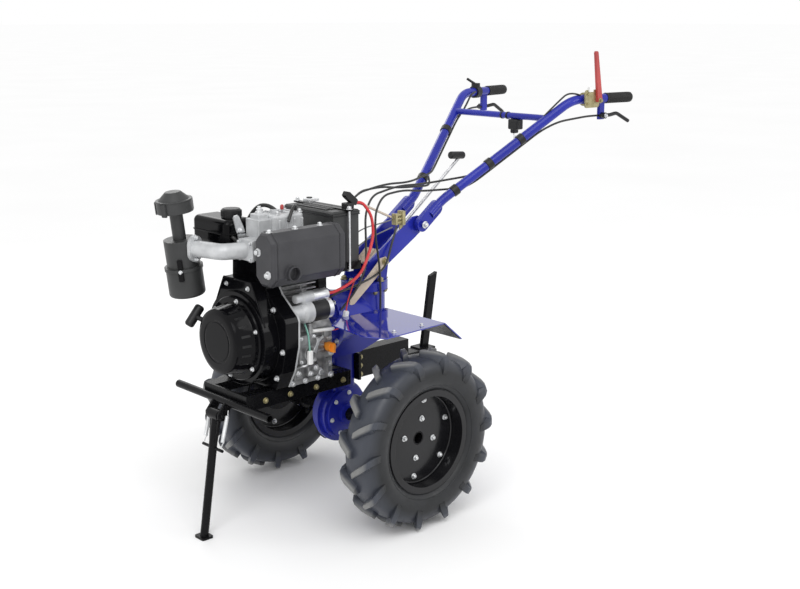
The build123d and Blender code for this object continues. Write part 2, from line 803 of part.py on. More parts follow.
def hitch_bracket():
    """The drawbar bolted behind the gearbox, with the socket of the depth bar."""
    rear = -column_half_x
    low, high = hitch_z - hitch_height / 2, hitch_z + hitch_height / 2
    socket_front = depth_bar_x + depth_bar_width / 2 + socket_wall
    socket_rear = depth_bar_x - depth_bar_width / 2 - socket_wall
    base = axle_z + drum_flange_radius + 1
    shape = mid_box(rear - hitch_plate, rear, hitch_half_y + 18, base, hitch_top)
    shape += mid_box(hitch_step_x, rear, hitch_half_y, base, hitch_top)
    shape += mid_box(socket_front, hitch_step_x, hitch_half_y, low, high)
    shape += mid_box(socket_rear, socket_front, hitch_half_y + 4, low - socket_rise, high + socket_rise)
    half = depth_bar_width / 2
    slot = mid_box(depth_bar_x - half, depth_bar_x + half, depth_bar_half_y, low - 40, high + 40)
    across = 2 * hitch_half_y
    bore = rod_y(hitch_pin_x, mid_y - across, mid_y + across, hitch_z, hitch_pin_radius)
    return shape - leaned_back(slot) - bore


def leaned_back(shape):
    """Leans what is drawn upright in the depth bar's socket back about the socket's middle."""
    return shape.rotate(Axis((depth_bar_x, 0, hitch_z), (0, 1, 0)), -depth_bar_lean)


def depth_bar():
    """The flat bar that sets the working depth, parked high."""
    low, high = depth_bar_span
    rear = depth_bar_x - depth_bar_width / 2
    front = depth_bar_x + depth_bar_width / 2
    view = [(rear, low), (front, low), (front, high - 14), (rear, high)]
    return leaned_back(prism_y(view, mid_y - depth_bar_half_y, mid_y + depth_bar_half_y))


def handle_bracket():
    """The channel that carries the handlebar, with its two pivot bolts."""
    base = gear_head_top + gear_lid_thickness
    front = gear_head_x + 40
    back = gear_head_x - 45
    cheek = [(front, base), (back, base), (back - 6, base + 41), (pivot_x - 16, pivot_z - 20),
             (pivot_x - 22, pivot_z + 3), (pivot_x, pivot_z + 23), (pivot_x + 22, pivot_z + 21),
             (front - 20, base + 58)]
    shape = mid_box(back, front, cheek_face, base, base + cheek_sheet)
    web = [(back, base), (back + 6, base), (back, base + 45), (pivot_x + 10, pivot_z - 28),
           (pivot_x + 6, pivot_z - 34), (back - 6, base + 41)]
    shape += prism_y(web, mid_y - cheek_face, mid_y + cheek_face)
    for side in (1, -1):
        shape += prism_y(cheek, mid_y + side * (cheek_face - cheek_sheet), mid_y + side * cheek_face)
        inner = mid_y + side * (cheek_face - 2 * cheek_sheet)
        outer = mid_y + side * (arm_offset + 2 * eye_half_y)
        shape += rod_y(pivot_x, inner, outer, pivot_z, pivot_bolt_radius)
    return shape


def gear_lever():
    """The bent shift rod, up to the rear end of its knob."""
    base = gear_head_top + gear_lid_thickness + cheek_sheet
    points = [(gear_head_x + 15, mid_y, base), (gear_head_x - 52, mid_y, base + 54),
              (knob_rear_x + knob_radius, mid_y, knob_z)]
    return bent_rod(points, shift_rod_radius, 9) - gear_lever_knob() - handle_bracket()


def gear_lever_knob():
    """The shift knob, a short bar that points forward from the rod's end."""
    knob = rod((knob_rear_x, mid_y, knob_z), (knob_rear_x + knob_length, mid_y, knob_z + 4), knob_radius)
    return fillet(knob.edges(), 4)


def slope_point(distance, side):
    """A point on the arm's line beside the pivot, before the arm turns outwards."""
    run = bend_x - pivot_x
    rise = grip_z - pivot_z
    share = distance / hypot(run, rise)
    return Vector(pivot_x + share * run, mid_y + side * arm_offset, pivot_z + share * rise)


def arm_point(share, side):
    """A point on the straight run of an arm, from its knee to its bend."""
    knee = slope_point(eye_end, side)
    corner = Vector(bend_x, mid_y + side * bend_offset, grip_z)
    return knee + (corner - knee) * share


def arm_share(x):
    """How far along its straight run an arm has reached a given X."""
    knee_x = slope_point(eye_end, 1).X
    return (x - knee_x) / (bend_x - knee_x)


def grip_axis(side):
    """Direction of the tube's last straight run."""
    return Vector(grip_end_x - bend_x, side * (grip_end_offset - bend_offset), 0).normalized()


def grip_point(x, side):
    """A point on the last straight run at a given X."""
    share = (x - bend_x) / (grip_end_x - bend_x)
    return Vector(x, mid_y + side * (bend_offset + share * (grip_end_offset - bend_offset)), grip_z)


def grip_end(side):
    """Centre of the grip's end face, set so that its edge meets the overall length."""
    return grip_point(grip_end_x + grip_radius * abs(grip_axis(side).Y), side)


def arm_tube(side, radius, bore=0.0):
    """The bent tube of one arm."""
    end = grip_end(side) - grip_axis(side) * 3
    points = [slope_point(eye_start, side), arm_point(0, side), arm_point(1, side), end]
    return bent_rod(points, radius, bend_radius, bore)


def handle_arm(side):
    """One arm: the tube and its flattened eye at the pivot."""
    eye_length = eye_start + 30
    middle = slope_point(eye_length / 2, side)
    low = mid_y + side * arm_offset - eye_half_y
    plane = Plane((middle.X, low, middle.Z), x_dir=(bend_x - pivot_x, 0, grip_z - pivot_z), z_dir=(0, 1, 0))
    eye = extrude(plane * SlotCenterToCenter(eye_length, 2 * eye_radius), 2 * eye_half_y)
    shape = (eye - arm_tube(side, arm_radius)) + arm_tube(side, arm_radius, arm_radius - arm_wall)
    reach = mid_y + side * (arm_offset + 4 * eye_half_y)
    return shape - rod_y(pivot_x, mid_y, reach, pivot_z, pivot_bolt_radius + running_fit)


def crossbar():
    """The bar between the arms."""
    share = arm_share(crossbar_x)
    bar = rod(arm_point(share, 1), arm_point(share, -1), crossbar_radius)
    return bar - arm_tube(1, arm_radius) - arm_tube(-1, arm_radius)


def grips():
    """The rubber grips."""
    parts = []
    for side in (1, -1):
        end = grip_end(side)
        grip = rod(end - grip_axis(side) * grip_length, end, grip_radius)
        parts.append(fillet(grip.edges(), 4) - arm_tube(side, arm_radius))
    return Compound(parts)


def clamp(side, x, width):
    """A clamp round the grip tube, even about a given X."""
    middle = grip_point(x, side)
    half = grip_axis(side) * (width / 2)
    return rod(middle - half, middle + half, arm_radius + clamp_wall) - arm_tube(side, arm_radius)


def lever_brackets():
    """The struts under the grips that carry the brake levers."""
    parts = []
    for side in (1, -1):
        y = grip_point(strut_x, side).Y
        strut = box(strut_x - 11, strut_x + 11, y - 5, y + 5, grip_z - strut_length, grip_z)
        parts.append(strut - arm_tube(side, arm_radius))
    return Compound(parts)


def brake_levers():
    """The curved steering brake levers under the grips."""
    parts = []
    for side in (1, -1):
        y = grip_point(strut_x, side).Y + side * 11
        z = grip_z - strut_length
        points = [(strut_x + 16, y, z + 12), (strut_x - 30, y, z + 12), (strut_x - 62, y, z + 16),
                  (strut_x - 112, y + side * 8, z - 10)]
        lever = bent_rod(points, 5.5, 26)
        parts.append(lever + rod_y(strut_x, y - side * 6, y + side * 8, z + 12, 9))
    return Compound(parts)


def clutch_clamp():
    """The plated clamp of the clutch lever."""
    outer = clutch_plate_face()
    x0, x1 = clutch_x - clutch_plate_half, clutch_x + clutch_plate_half
    plate = box(x0, x1, outer - clutch_plate_sheet, outer, grip_z - 24, grip_z + 28)
    shape = clamp(1, clutch_x, clamp_width) + fillet(plate.edges().filter_by(Axis.Y), 10)
    return shape - arm_tube(1, arm_radius)


def clutch_plate_face():
    """Outer face of the clutch lever's plate, just clear of the tube where it bends away."""
    return grip_point(clutch_x - clutch_plate_half, 1).Y + arm_radius + clutch_plate_sheet + seat_gap


def clutch_lever():
    """The clutch lever on the outer face of its plate."""
    y = clutch_plate_face()
    x = clutch_x - 27
    view = [(x - 12, grip_z - 8), (x + 10, grip_z - 8), (x + 28, clutch_top - 5), (x + 25, clutch_top),
            (x + 19, clutch_top), (x + 16, clutch_top - 5)]
    return prism_y(view, y, y + clutch_lever_sheet)


def throttle_lever():
    """The throttle on the right arm."""
    y = grip_point(throttle_x, -1).Y
    top = grip_z + arm_radius + clamp_wall + 8
    shape = clamp(-1, throttle_x, clamp_width)
    shape += rod_z(throttle_x, y, grip_z, top, 14)
    shape += rod((throttle_x, y, top - 4), (throttle_x + 39, y, grip_z + 42), 4)
    return shape - arm_tube(-1, arm_radius)


def stop_switch():
    """The switch box below the crossbar."""
    point = arm_point(arm_share(crossbar_x), 1)
    top = point.Z - crossbar_radius
    return box(crossbar_x - 14, crossbar_x + 14, mid_y + 45, mid_y + 83, top - 42, top)


def round_arm(share, side, quarters, gap):
    """A cable point beside an arm: 0 quarters is towards the middle plane, -1 is below the arm."""
    along = (arm_point(1, side) - arm_point(0, side)).normalized()
    up = (Vector(0, 0, 1) - along * along.Z).normalized()
    inward = along.cross(up) * -side
    reach = arm_radius + cable_radius + gap
    angle = quarters * pi / 2
    return arm_point(share, side) + inward * (reach * cos(angle)) + up * (reach * sin(angle))


def brake_cable(side):
    """From a brake lever, along the underside of its arm and in a loop to the gear head's foot."""
    y = grip_point(strut_x, side).Y
    z = grip_z - strut_length + 12
    low_y = mid_y + side * (gear_head_radius + gear_flange + cable_radius + seat_gap)
    end_y = mid_y + side * (gear_head_radius + cable_radius + 2 * seat_gap)
    points = [(strut_x + 12, y, z), (strut_x + 60, y - side * 4, z), round_arm(0.86, side, -1, 12),
              round_arm(0.74, side, -1, seat_gap), round_arm(0.24, side, -1, seat_gap),
              round_arm(0.17, side, -0.5, 8), round_arm(0.1, side, 0, 12),
              (pivot_x - 12, mid_y + side * 46, pivot_z + 92),
              (pivot_x + 60, mid_y + side * 46, pivot_z + 102),
              (gear_head_x - 28, mid_y + side * 50, pivot_z + 96),
              (gear_head_x + 6, mid_y + side * 56, pivot_z + 58),
              (gear_head_x + 16, mid_y + side * 64, pivot_z - 8),
              (gear_head_x + 11, low_y + side * 6, gear_head_top + 70),
              (gear_head_x + 4, low_y + side * 3, gear_head_top + 4),
              (gear_head_x - 4, end_y, block_top + gear_base + seat_gap)]
    return cable(points, cable_radius)


def second_cable(side):
    """The clutch or throttle cable, on the inner side of an arm."""
    start = grip_point(clutch_x + clamp_width / 2, side)
    reach = clutch_radius + clutch_flange + cable_radius + seat_gap
    end = (clutch_rear_x + 6, mid_y + side * reach * cos(pi / 7), crank_z + reach * sin(pi / 7))
    points = [start + Vector(1, -side * 20, 2), start + Vector(34, -side * 32, -4),
              round_arm(0.88, side, -0.5, 8), round_arm(0.76, side, -0.5, seat_gap + 1),
              round_arm(0.3, side, -0.5, seat_gap + 1), round_arm(0.2, side, 0.2, 8),
              (pivot_x - 30, mid_y + side * 26, pivot_z + 108),
              (pivot_x + 60, mid_y + side * 26, pivot_z + 112),
              (gear_head_x - 4, mid_y + side * 30, pivot_z + 96),
              (gear_head_x + 32, mid_y + side * 42, pivot_z + 50),
              (gear_head_x + 46, mid_y + side * 60, pivot_z - 14),
              (gear_head_x + 66, mid_y + side * 84, gear_head_top + 74),
              (gear_head_x + 112, mid_y + side * 96, gear_head_top + 14), end]
    return cable(points, cable_radius)


def control_cables():
    """The two brake cables, the clutch cable and the throttle cable."""
    return Compound([brake_cable(1), brake_cable(-1), second_cable(1), second_cable(-1)])


nodes = {
    "gearbox_case": gearbox_case,
    "gear_head_cover": gear_head_cover,
    "final_drive_covers": final_drive_covers,
    "clutch_housing": clutch_housing,
    "frame_rail_left": lambda: frame_rail(1),
    "frame_rail_right": lambda: frame_rail(-1),
    "frame_cross_plate": frame_cross_plate,
    "front_bumper": front_bumper,
    "front_stand": front_stand,
    "stand_springs": stand_springs,
    "crankcase": crankcase,
    "fan_shroud": fan_shroud,
    "recoil_starter": recoil_starter,
    "recoil_handle": recoil_handle,
    "cylinder_barrel": cylinder_barrel,
    "cylinder_head": cylinder_head,
    "fuel_tank": fuel_tank,
    "fuel_cap": fuel_cap,
    "tank_bracket": tank_bracket,
    "air_cleaner": air_cleaner,
    "precleaner": precleaner,
    "intake_pipe": intake_pipe,
    "muffler": muffler,
    "starter_motor": starter_motor,
    "injection_pump": injection_pump,
    "oil_filler_cap": oil_filler_cap,
    "battery": battery,
    "battery_tray": battery_tray,
    "battery_post": battery_post,
    "battery_hold_down": battery_hold_down,
    "battery_leads": battery_leads,
    "mudguard_left": lambda: mudguard(1),
    "mudguard_right": lambda: mudguard(-1),
    "hitch_bracket": hitch_bracket,
    "depth_bar": depth_bar,
    "handle_bracket": handle_bracket,
    "gear_lever": gear_lever,
    "gear_lever_knob": gear_lever_knob,
    "handle_arm_left": lambda: handle_arm(1),
    "handle_arm_right": lambda: handle_arm(-1),
    "crossbar": crossbar,
    "grips": grips,
    "lever_brackets": lever_brackets,
    "brake_levers": brake_levers,
    "clutch_clamp": clutch_clamp,
    "clutch_lever": clutch_lever,
    "throttle_lever": throttle_lever,
    "stop_switch": stop_switch,
    "control_cables": control_cables,
    "tyre_left": lambda: tyre(1),
    "tyre_right": lambda: tyre(-1),
    "rim_left": lambda: rim(1),
    "rim_right": lambda: rim(-1),
    "hub_left": lambda: hub(1),
    "hub_right": lambda: hub(-1),
}


def main():
    os.makedirs("parts", exist_ok=True)
    for name, make in nodes.items():
        export_step(Pos(axle_x, 0, 0) * make(), f"parts/{name}.step")


if __name__ == "__main__":
    main()
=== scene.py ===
import json
import math

import bmesh
import bpy
from mathutils import Matrix, Vector


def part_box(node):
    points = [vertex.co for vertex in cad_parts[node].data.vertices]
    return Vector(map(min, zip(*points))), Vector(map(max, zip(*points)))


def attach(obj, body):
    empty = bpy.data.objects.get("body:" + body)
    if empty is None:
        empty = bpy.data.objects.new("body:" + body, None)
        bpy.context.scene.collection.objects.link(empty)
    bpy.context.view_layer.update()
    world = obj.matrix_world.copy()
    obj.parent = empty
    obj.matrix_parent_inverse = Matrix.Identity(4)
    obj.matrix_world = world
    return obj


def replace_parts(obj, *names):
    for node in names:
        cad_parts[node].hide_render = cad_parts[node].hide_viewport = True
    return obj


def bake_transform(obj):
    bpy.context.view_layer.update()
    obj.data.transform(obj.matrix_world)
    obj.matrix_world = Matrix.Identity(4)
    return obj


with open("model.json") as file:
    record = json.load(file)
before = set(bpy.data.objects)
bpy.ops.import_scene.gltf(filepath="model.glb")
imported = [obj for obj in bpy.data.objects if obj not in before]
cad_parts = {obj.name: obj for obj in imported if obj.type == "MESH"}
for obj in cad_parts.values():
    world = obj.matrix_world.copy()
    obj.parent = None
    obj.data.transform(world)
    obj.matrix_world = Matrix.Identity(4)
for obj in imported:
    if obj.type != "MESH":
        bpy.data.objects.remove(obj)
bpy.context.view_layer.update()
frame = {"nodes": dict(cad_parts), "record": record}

# Camera from the photograph's angle: places in metres, lens and sensor in millimetres
camera_place = (2.3116, 2.4354, 1.3235)
camera_target = (-0.3553, -0.3937, 0.4138)
camera_lens = 53.9
camera_sensor = 36.0

# Studio light: an even world, a very soft sun and weak softboxes for the highlights
world_light = 0.74
sun_strength = 1.1
sun_softness = math.radians(50)
sun_place = (1.6, 2.2, 3.6)
lamp_target = (0.1, 0.0, 0.5)
softboxes = (("near", (2.2, 1.2, 2.2), 0.9, 10), ("side", (-1.4, 2.6, 1.8), 1.0, 10),
             ("back", (-0.6, -2.6, 2.4), 1.4, 14))
floor_dark = (0.97, 0.97, 0.97)
floor_light = (0.99, 0.99, 0.99)
floor_half = 150.0

# Tyres: half of the carcass as (across, radius), from the bead to the middle of the crown
axle_place = (0.2345, 0.0, 0.24)
tyre_radius = 0.24
carcass_rows = ((0.041, 0.128), (0.0415, 0.141), (0.048, 0.147), (0.0535, 0.158), (0.0555, 0.17),
                (0.0548, 0.184), (0.0522, 0.198), (0.047, 0.2095), (0.039, 0.217), (0.026, 0.221),
                (0.01, 0.2225))
ring_steps = 140
bead_line = (0.0505, 0.1535, 0.0016)

# Lugs: their course from the crown over the shoulder as (across, top radius, foot radius)
lug_rows = ((0.003, 0.2395, 0.219), (0.02, 0.2395, 0.218), (0.036, 0.2385, 0.214), (0.047, 0.2355, 0.207),
            (0.054, 0.229, 0.2), (0.0574, 0.219, 0.194), (0.0578, 0.206, 0.189),
            (0.0576, 0.194, 0.184), (0.056, 0.184, 0.18))
lug_count = 14
lug_half = 0.011
lug_sweep = math.radians(11.5)
lug_curl = 2.4
lug_start = math.radians(177.4)
lug_sink = 0.012
lug_edge = 0.003
crown_rows = 4

# Rims: rings as (offset from the middle, radius, wire), and circles of bolts
rim_edge_inset = 0.003
rim_edge_radius = 0.1365
rim_edge_wire = 0.0029
rim_seat = (0.004, 0.1195, 0.004)
disc_half = 0.0025
disc_bolt_circle = 0.103
disc_bolt_turn = 0.35
hub_bolt_circle = 0.053
hub_bolt_turn = -0.21

# Recoil cover's vents, in a ring round its axis
vent_count = 22
vent_size = (0.0022, 0.0065, 0.026)
vent_place = (0.0884, 0, 0.031)
vent_lean = math.radians(-6.6)

# Muffler body with the lip of its outlet, and the intake's neck flange
muffler_depth = 0.075
muffler_chamfer = 0.022
outlet_reach = 0.011
outlet_lip_radius = 0.018
neck_face = Vector((0.6331, -0.102, 0.742))
neck_course = Vector((-0.2406, 0.9706, 0))

# Air cleaner, as in the CAD source, and the bearings of the clips round it
cleaner_foot = Vector((0.6335, -0.148, 0.615))
cleaner_axis = Vector((math.sin(math.radians(7)), 0, math.cos(math.radians(7))))
cleaner_radius = 0.047
dust_cap_radius = 0.046
dust_cap_base = 0.222
clip_bearings = (-0.75, 2.4)
cap_clip_bearings = (-1.2, 1.5, 3.9)

# Mudguard flaps, following the CAD sheets: stations as (along, inner, outer)
flap_top = Vector((0.1735, 0, 0.548))
flap_course = Vector((-0.773, 0, -0.634))
flap_normal = Vector((-0.634, 0, 0.773))
flap_stations = ((0.002, 0.114, 0.335), (0.014, 0.114, 0.335), (0.0145, 0.135, 0.335), (0.083, 0.206, 0.333))

# Black sheets of painted shade under the flaps, as depths below the flap's top face
shade_sheet_top = 0.0022
shade_sheet_foot = 0.0046

# Stand springs
spring_turns = 36
spring_steps = 12
spring_radius = 0.0042
spring_wire = 0.0013
coil_start = 0.15
coil_end = 0.85

# Handlebar lines and grips, as in the CAD source
mid_y = -0.015
pivot_back = 0.022
pivot_drop = 0.023
arm_knee = Vector((-0.1081, 0.057, 0.8042))
arm_corner = Vector((-0.4835, 0.219, 1.08))
grip_run = Vector((-0.235, 0.038, 0))
grip_length = 0.104
grip_radius = 0.016

# Ribs on the grips
grip_ribs = 13
rib_pitch = 0.0062

# Fastenings, across the hexagon's flats
screw = 0.007
tiny_bolt = 0.008
small_bolt = 0.01
middle_bolt = 0.013

origin = Vector((0, 0, 0))
up = Vector((0, 0, 1))
forward = Vector((1, 0, 0))
left = Vector((0, 1, 0))
both_sides = ((1, "left"), (-1, "right"))


def low(node):
    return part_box(node)[0]


def high(node):
    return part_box(node)[1]


def middle(node):
    return (low(node) + high(node)) / 2


def shifted(base, offsets):
    """Places given by their offsets from a base."""
    return [Vector(base) + Vector(offset) for offset in offsets]


# Materials: the record's slot of each finish, and the finish of the CAD nodes in each slot

node_finish = {}


def add_node(tree, kind, values=None, links=None, operation=None):
    """A shader node with its input values, the sockets linked into it and its operation."""
    made = tree.nodes.new(kind)
    if operation:
        made.operation = operation
    for socket, value in (values or {}).items():
        made.inputs[socket].default_value = value
    for socket, source in (links or {}).items():
        tree.links.new(source, made.inputs[socket])
    return made


def nodes_of(name):
    """A new material with its node tree and main shader."""
    made = bpy.data.materials.new(name)
    made.use_nodes = True
    tree = made.node_tree
    return made, tree, tree.nodes["Principled BSDF"]


def noise(tree, scale, detail=4.0, stretch=(1, 1, 1)):
    """A noise pattern in the frame's own metres."""
    coords = add_node(tree, "ShaderNodeTexCoord")
    mapping = add_node(tree, "ShaderNodeMapping", {"Scale": stretch}, {"Vector": coords.outputs["Object"]})
    pattern = add_node(tree, "ShaderNodeTexNoise", {"Scale": scale, "Detail": detail},
                       {"Vector": mapping.outputs["Vector"]})
    return pattern.outputs["Fac"]


def colours(tree, factor, dark, light):
    """A ramp between two colours."""
    ramp = add_node(tree, "ShaderNodeValToRGB", links={"Fac": factor})
    for element, place, colour in zip(ramp.color_ramp.elements, (0.32, 0.7), (dark, light)):
        element.position = place
        element.color = (*colour, 1)
    return ramp.outputs["Color"]


def spread(tree, factor, lowest, highest, start=0.3, end=0.7):
    """A number that follows a pattern between two values."""
    values = {"From Min": start, "From Max": end, "To Min": lowest, "To Max": highest}
    return add_node(tree, "ShaderNodeMapRange", values, {"Value": factor}).outputs["Result"]


def surface(name, slot, dark, light, rough, metal=0.0, patch=14.0, grain=900.0, depth=0.00008, edge=0.0012,
            coat=0.0, coat_rough=0.1, gloss=0.5, stretch=(1, 1, 1)):
    """A finish with patchy colour, uneven gloss, a fine grain and softened edges."""
    made, tree, shader = nodes_of(name)
    # The first finish made for a slot is the one that the slot's CAD nodes take
    node_finish.setdefault(slot, made)
    tree.links.new(colours(tree, noise(tree, patch, 5.0), dark, light), shader.inputs["Base Color"])
    tree.links.new(spread(tree, noise(tree, patch * 5, 6.0), *rough), shader.inputs["Roughness"])
    bevel = add_node(tree, "ShaderNodeBevel", {"Radius": edge})
    bevel.samples = 4
    bump = add_node(tree, "ShaderNodeBump", {"Strength": 0.5, "Distance": depth},
                    {"Height": noise(tree, grain, 3.0, stretch), "Normal": bevel.outputs["Normal"]})
    tree.links.new(bump.outputs["Normal"], shader.inputs["Normal"])
    shader.inputs["Metallic"].default_value = metal
    shader.inputs["Specular IOR Level"].default_value = gloss
    shader.inputs["Coat Weight"].default_value = coat
    shader.inputs["Coat Roughness"].default_value = coat_rough
    return made


def wear_and_painted_sheen(made, bands):
    """Makes a tyre paler outwards from its axle, in (start, end, colour, share) bands: worn lug tops, and a
    painted sheen.
    """
    tree = made.node_tree
    target = tree.nodes["Principled BSDF"].inputs["Base Color"]
    colour = target.links[0].from_socket
    place = add_node(tree, "ShaderNodeTexCoord").outputs["Object"]
    offset = add_node(tree, "ShaderNodeVectorMath", {1: axle_place}, {0: place}, "SUBTRACT")
    flat = add_node(tree, "ShaderNodeVectorMath", {1: (1, 0, 1)}, {0: offset.outputs["Vector"]}, "MULTIPLY")
    reach = add_node(tree, "ShaderNodeVectorMath", links={0: flat.outputs["Vector"]}, operation="LENGTH")
    for start, end, pale, most in bands:
        share = spread(tree, reach.outputs["Value"], 0, most, start, end)
        mixed = add_node(tree, "ShaderNodeMixRGB", {"Color2": (*pale, 1)}, {"Fac": share, "Color1": colour})
        colour = mixed.outputs["Color"]
    tree.links.new(colour, target)


paint_blue = surface("paint_blue", "blue_paint", (0.012, 0.018, 0.27), (0.018, 0.027, 0.35), (0.18, 0.26),
                     patch=5, coat=0.1, gloss=0.3, grain=180, depth=0.00002)
paint_guard = surface("paint_guard", "blue_paint", (0.014, 0.02, 0.26), (0.02, 0.028, 0.33), (0.05, 0.09),
                      patch=5, coat=0.6, coat_rough=0.05, gloss=0.6, grain=120, depth=0.00001)
paint_frame = surface("paint_frame", "black_paint", (0.003, 0.003, 0.0035), (0.006, 0.006, 0.007),
                      (0.2, 0.32), gloss=0.14, grain=320, depth=0.00006, edge=0.002)
paint_black = surface("paint_black", "black_paint", (0.002, 0.002, 0.0025), (0.004, 0.004, 0.005),
                      (0.07, 0.13), patch=6, gloss=0.12, grain=200, depth=0.00002, edge=0.0025)
paint_shield = surface("paint_shield", "shield_paint", (0.03, 0.03, 0.034), (0.044, 0.044, 0.049),
                       (0.36, 0.46), gloss=0.4, grain=1300, edge=0.006)
paint_rim = surface("paint_rim", "black_paint", (0.005, 0.005, 0.006), (0.01, 0.01, 0.012), (0.12, 0.22),
                    patch=8, gloss=0.35, grain=240, depth=0.00004, edge=0.002)
paint_red = surface("paint_red", "red_paint", (0.36, 0.03, 0.03), (0.46, 0.05, 0.046), (0.26, 0.38),
                    coat=0.2, grain=300)
cast_alloy = surface("cast_alloy", "cast_aluminium", (0.42, 0.43, 0.44), (0.6, 0.61, 0.62), (0.46, 0.62),
                     metal=0.35, patch=26, grain=700, depth=0.00035)
cast_case = surface("cast_case", "cast_aluminium", (0.2, 0.2, 0.205), (0.44, 0.445, 0.45), (0.34, 0.52),
                    metal=0.6, patch=55, grain=600, depth=0.0005)
plated_zinc = surface("plated_zinc", "zinc", (0.62, 0.63, 0.64), (0.78, 0.79, 0.8),
                      (0.28, 0.42), metal=0.8, patch=60)
plated_yellow = surface("plated_yellow", "yellow_zinc", (0.3, 0.265, 0.14), (0.46, 0.41, 0.235), (0.3, 0.45),
                        metal=0.8, patch=70)
steel_drawn = surface("steel_drawn", "bare_steel", (0.4, 0.4, 0.41), (0.56, 0.56, 0.57), (0.24, 0.38),
                      metal=1.0, patch=40, stretch=(6, 6, 1))
tan_strip = surface("tan_strip", "yellow_zinc", (0.54, 0.45, 0.36), (0.66, 0.56, 0.46), (0.45, 0.6),
                    metal=0.1, patch=40)
rubber_tyre = surface("rubber_tyre", "tyre_rubber", (0.006, 0.007, 0.008), (0.014, 0.015, 0.018),
                      (0.32, 0.48), patch=18, gloss=0.4, grain=420, depth=0.00022, edge=0.002)
# A painted bluish sheen on the carcass towards the crown, then real wear that makes the lug tops paler
wear_and_painted_sheen(rubber_tyre, ((0.186, 0.222, (0.05, 0.056, 0.072), 0.9), (0.228, 0.239, (0.21, 0.21, 0.205), 0.9)))
rubber_grip = surface("rubber_grip", "grip_rubber", (0.006, 0.006, 0.006), (0.012, 0.012, 0.012),
                      (0.48, 0.62), gloss=0.35, grain=800, depth=0.00015)
plastic_black = surface("plastic_black", "black_plastic", (0.006, 0.006, 0.007), (0.012, 0.012, 0.013),
                        (0.34, 0.5), gloss=0.35, grain=1500, depth=0.00012)
plastic_grey = surface("plastic_grey", "black_plastic", (0.024, 0.025, 0.025), (0.038, 0.039, 0.04),
                       (0.36, 0.5), gloss=0.4, grain=1300, depth=0.0001, edge=0.002)
plastic_orange = surface("plastic_orange", "orange_plastic", (0.78, 0.25, 0.02), (0.9, 0.33, 0.04),
                         (0.32, 0.44))
plastic_white = surface("plastic_white", "black_plastic", (0.78, 0.78, 0.77), (0.86, 0.86, 0.85),
                        (0.36, 0.48))
plastic_green = surface("plastic_green", "black_plastic", (0.16, 0.38, 0.31), (0.24, 0.48, 0.4), (0.38, 0.5))
jacket_black = surface("jacket_black", "cable_jacket", (0.009, 0.009, 0.009), (0.016, 0.016, 0.016),
                       (0.34, 0.46), grain=1200, depth=0.00005)
jacket_grey = surface("jacket_grey", "cable_jacket", (0.13, 0.13, 0.14), (0.18, 0.18, 0.19), (0.36, 0.48),
                      grain=1200, depth=0.00005)
jacket_red = surface("jacket_red", "red_jacket", (0.5, 0.016, 0.022), (0.64, 0.036, 0.04),
                     (0.36, 0.48), grain=1200)

own_finish = (
    (cast_case, ("crankcase", "injection_pump", "cylinder_barrel")),
    (paint_black, ("fan_shroud", "recoil_starter", "fuel_tank")),
    (plastic_grey, ("air_cleaner", "precleaner", "battery")),
    (paint_rim, ("rim_left", "rim_right")),
    (paint_guard, ("mudguard_left", "mudguard_right")),
)


def finish_nodes():
    """Gives each CAD node its own finish, or else that of its slot."""
    chosen = {node: finish for finish, names in own_finish for node in names}
    for part in frame["record"]["subparts"]:
        node = frame["nodes"][part["node"]]
        node.data.materials.clear()
        node.data.materials.append(chosen.get(part["node"], node_finish[part["material_slot"]]))


# Building helpers

def piece(name, mesh, finish, body="chassis", smooth=True):
    """A mesh as a piece of the scene, riding on a body."""
    obj = bpy.data.objects.new(name, mesh)
    bpy.context.scene.collection.objects.link(obj)
    mesh.materials.append(finish)
    for face in mesh.polygons:
        face.use_smooth = smooth
    if body:
        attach(obj, body)
    return obj


def from_bmesh(name, shape, finish, body="chassis", smooth=False):
    """A bmesh as a piece; its normals face outwards."""
    bmesh.ops.recalc_face_normals(shape, faces=shape.faces)
    mesh = bpy.data.meshes.new(name)
    shape.to_mesh(mesh)
    shape.free()
    return piece(name, mesh, finish, body, smooth)


def facing(place, axis):
    """A matrix that puts local Z along an axis at a place."""
    return Matrix.Translation(place) @ Vector(axis).to_track_quat("Z", "Y").to_matrix().to_4x4()


def add_skin(shape, rows, looped=False):
    """Faces through equal closed rows of corner points, with capped ends unless the rows form a loop."""
    rings = [[shape.verts.new(place) for place in row] for row in rows]
    pairs = list(zip(rings, rings[1:]))
    if looped:
        pairs.append((rings[-1], rings[0]))
    for first, second in pairs:
        for side in range(len(first)):
            after = (side + 1) % len(first)
            shape.faces.new((first[side], first[after], second[after], second[side]))
    if not looped:
        shape.faces.new(rings[0])
        shape.faces.new(rings[-1])


def skin(name, rows, finish, body="chassis", smooth=False, looped=False):
    """One skin through rows of corner points, as a piece."""
    shape = bmesh.new()
    add_skin(shape, rows, looped)
    return from_bmesh(name, shape, finish, body, smooth)


def add_disc(shape, matrix, start, end, radius, top_radius=None, sides=24):
    """A round, conical or many-sided slab along local Z."""
    shift = Matrix.Translation((0, 0, (start + end) / 2))
    bmesh.ops.create_cone(shape, cap_ends=True, segments=sides, radius1=radius,
                          radius2=radius if top_radius is None else top_radius, depth=end - start,
                          matrix=matrix @ shift)


def add_cube(shape, matrix, size):
    """A plain box of a size at a matrix."""
    bmesh.ops.create_cube(shape, size=1.0, matrix=matrix @ Matrix.Diagonal((*size, 1)))


def soften(shape, offset):
    """Takes off all edges of a shape."""
    bmesh.ops.bevel(shape, geom=list(shape.edges), offset=offset, segments=2, affect="EDGES")


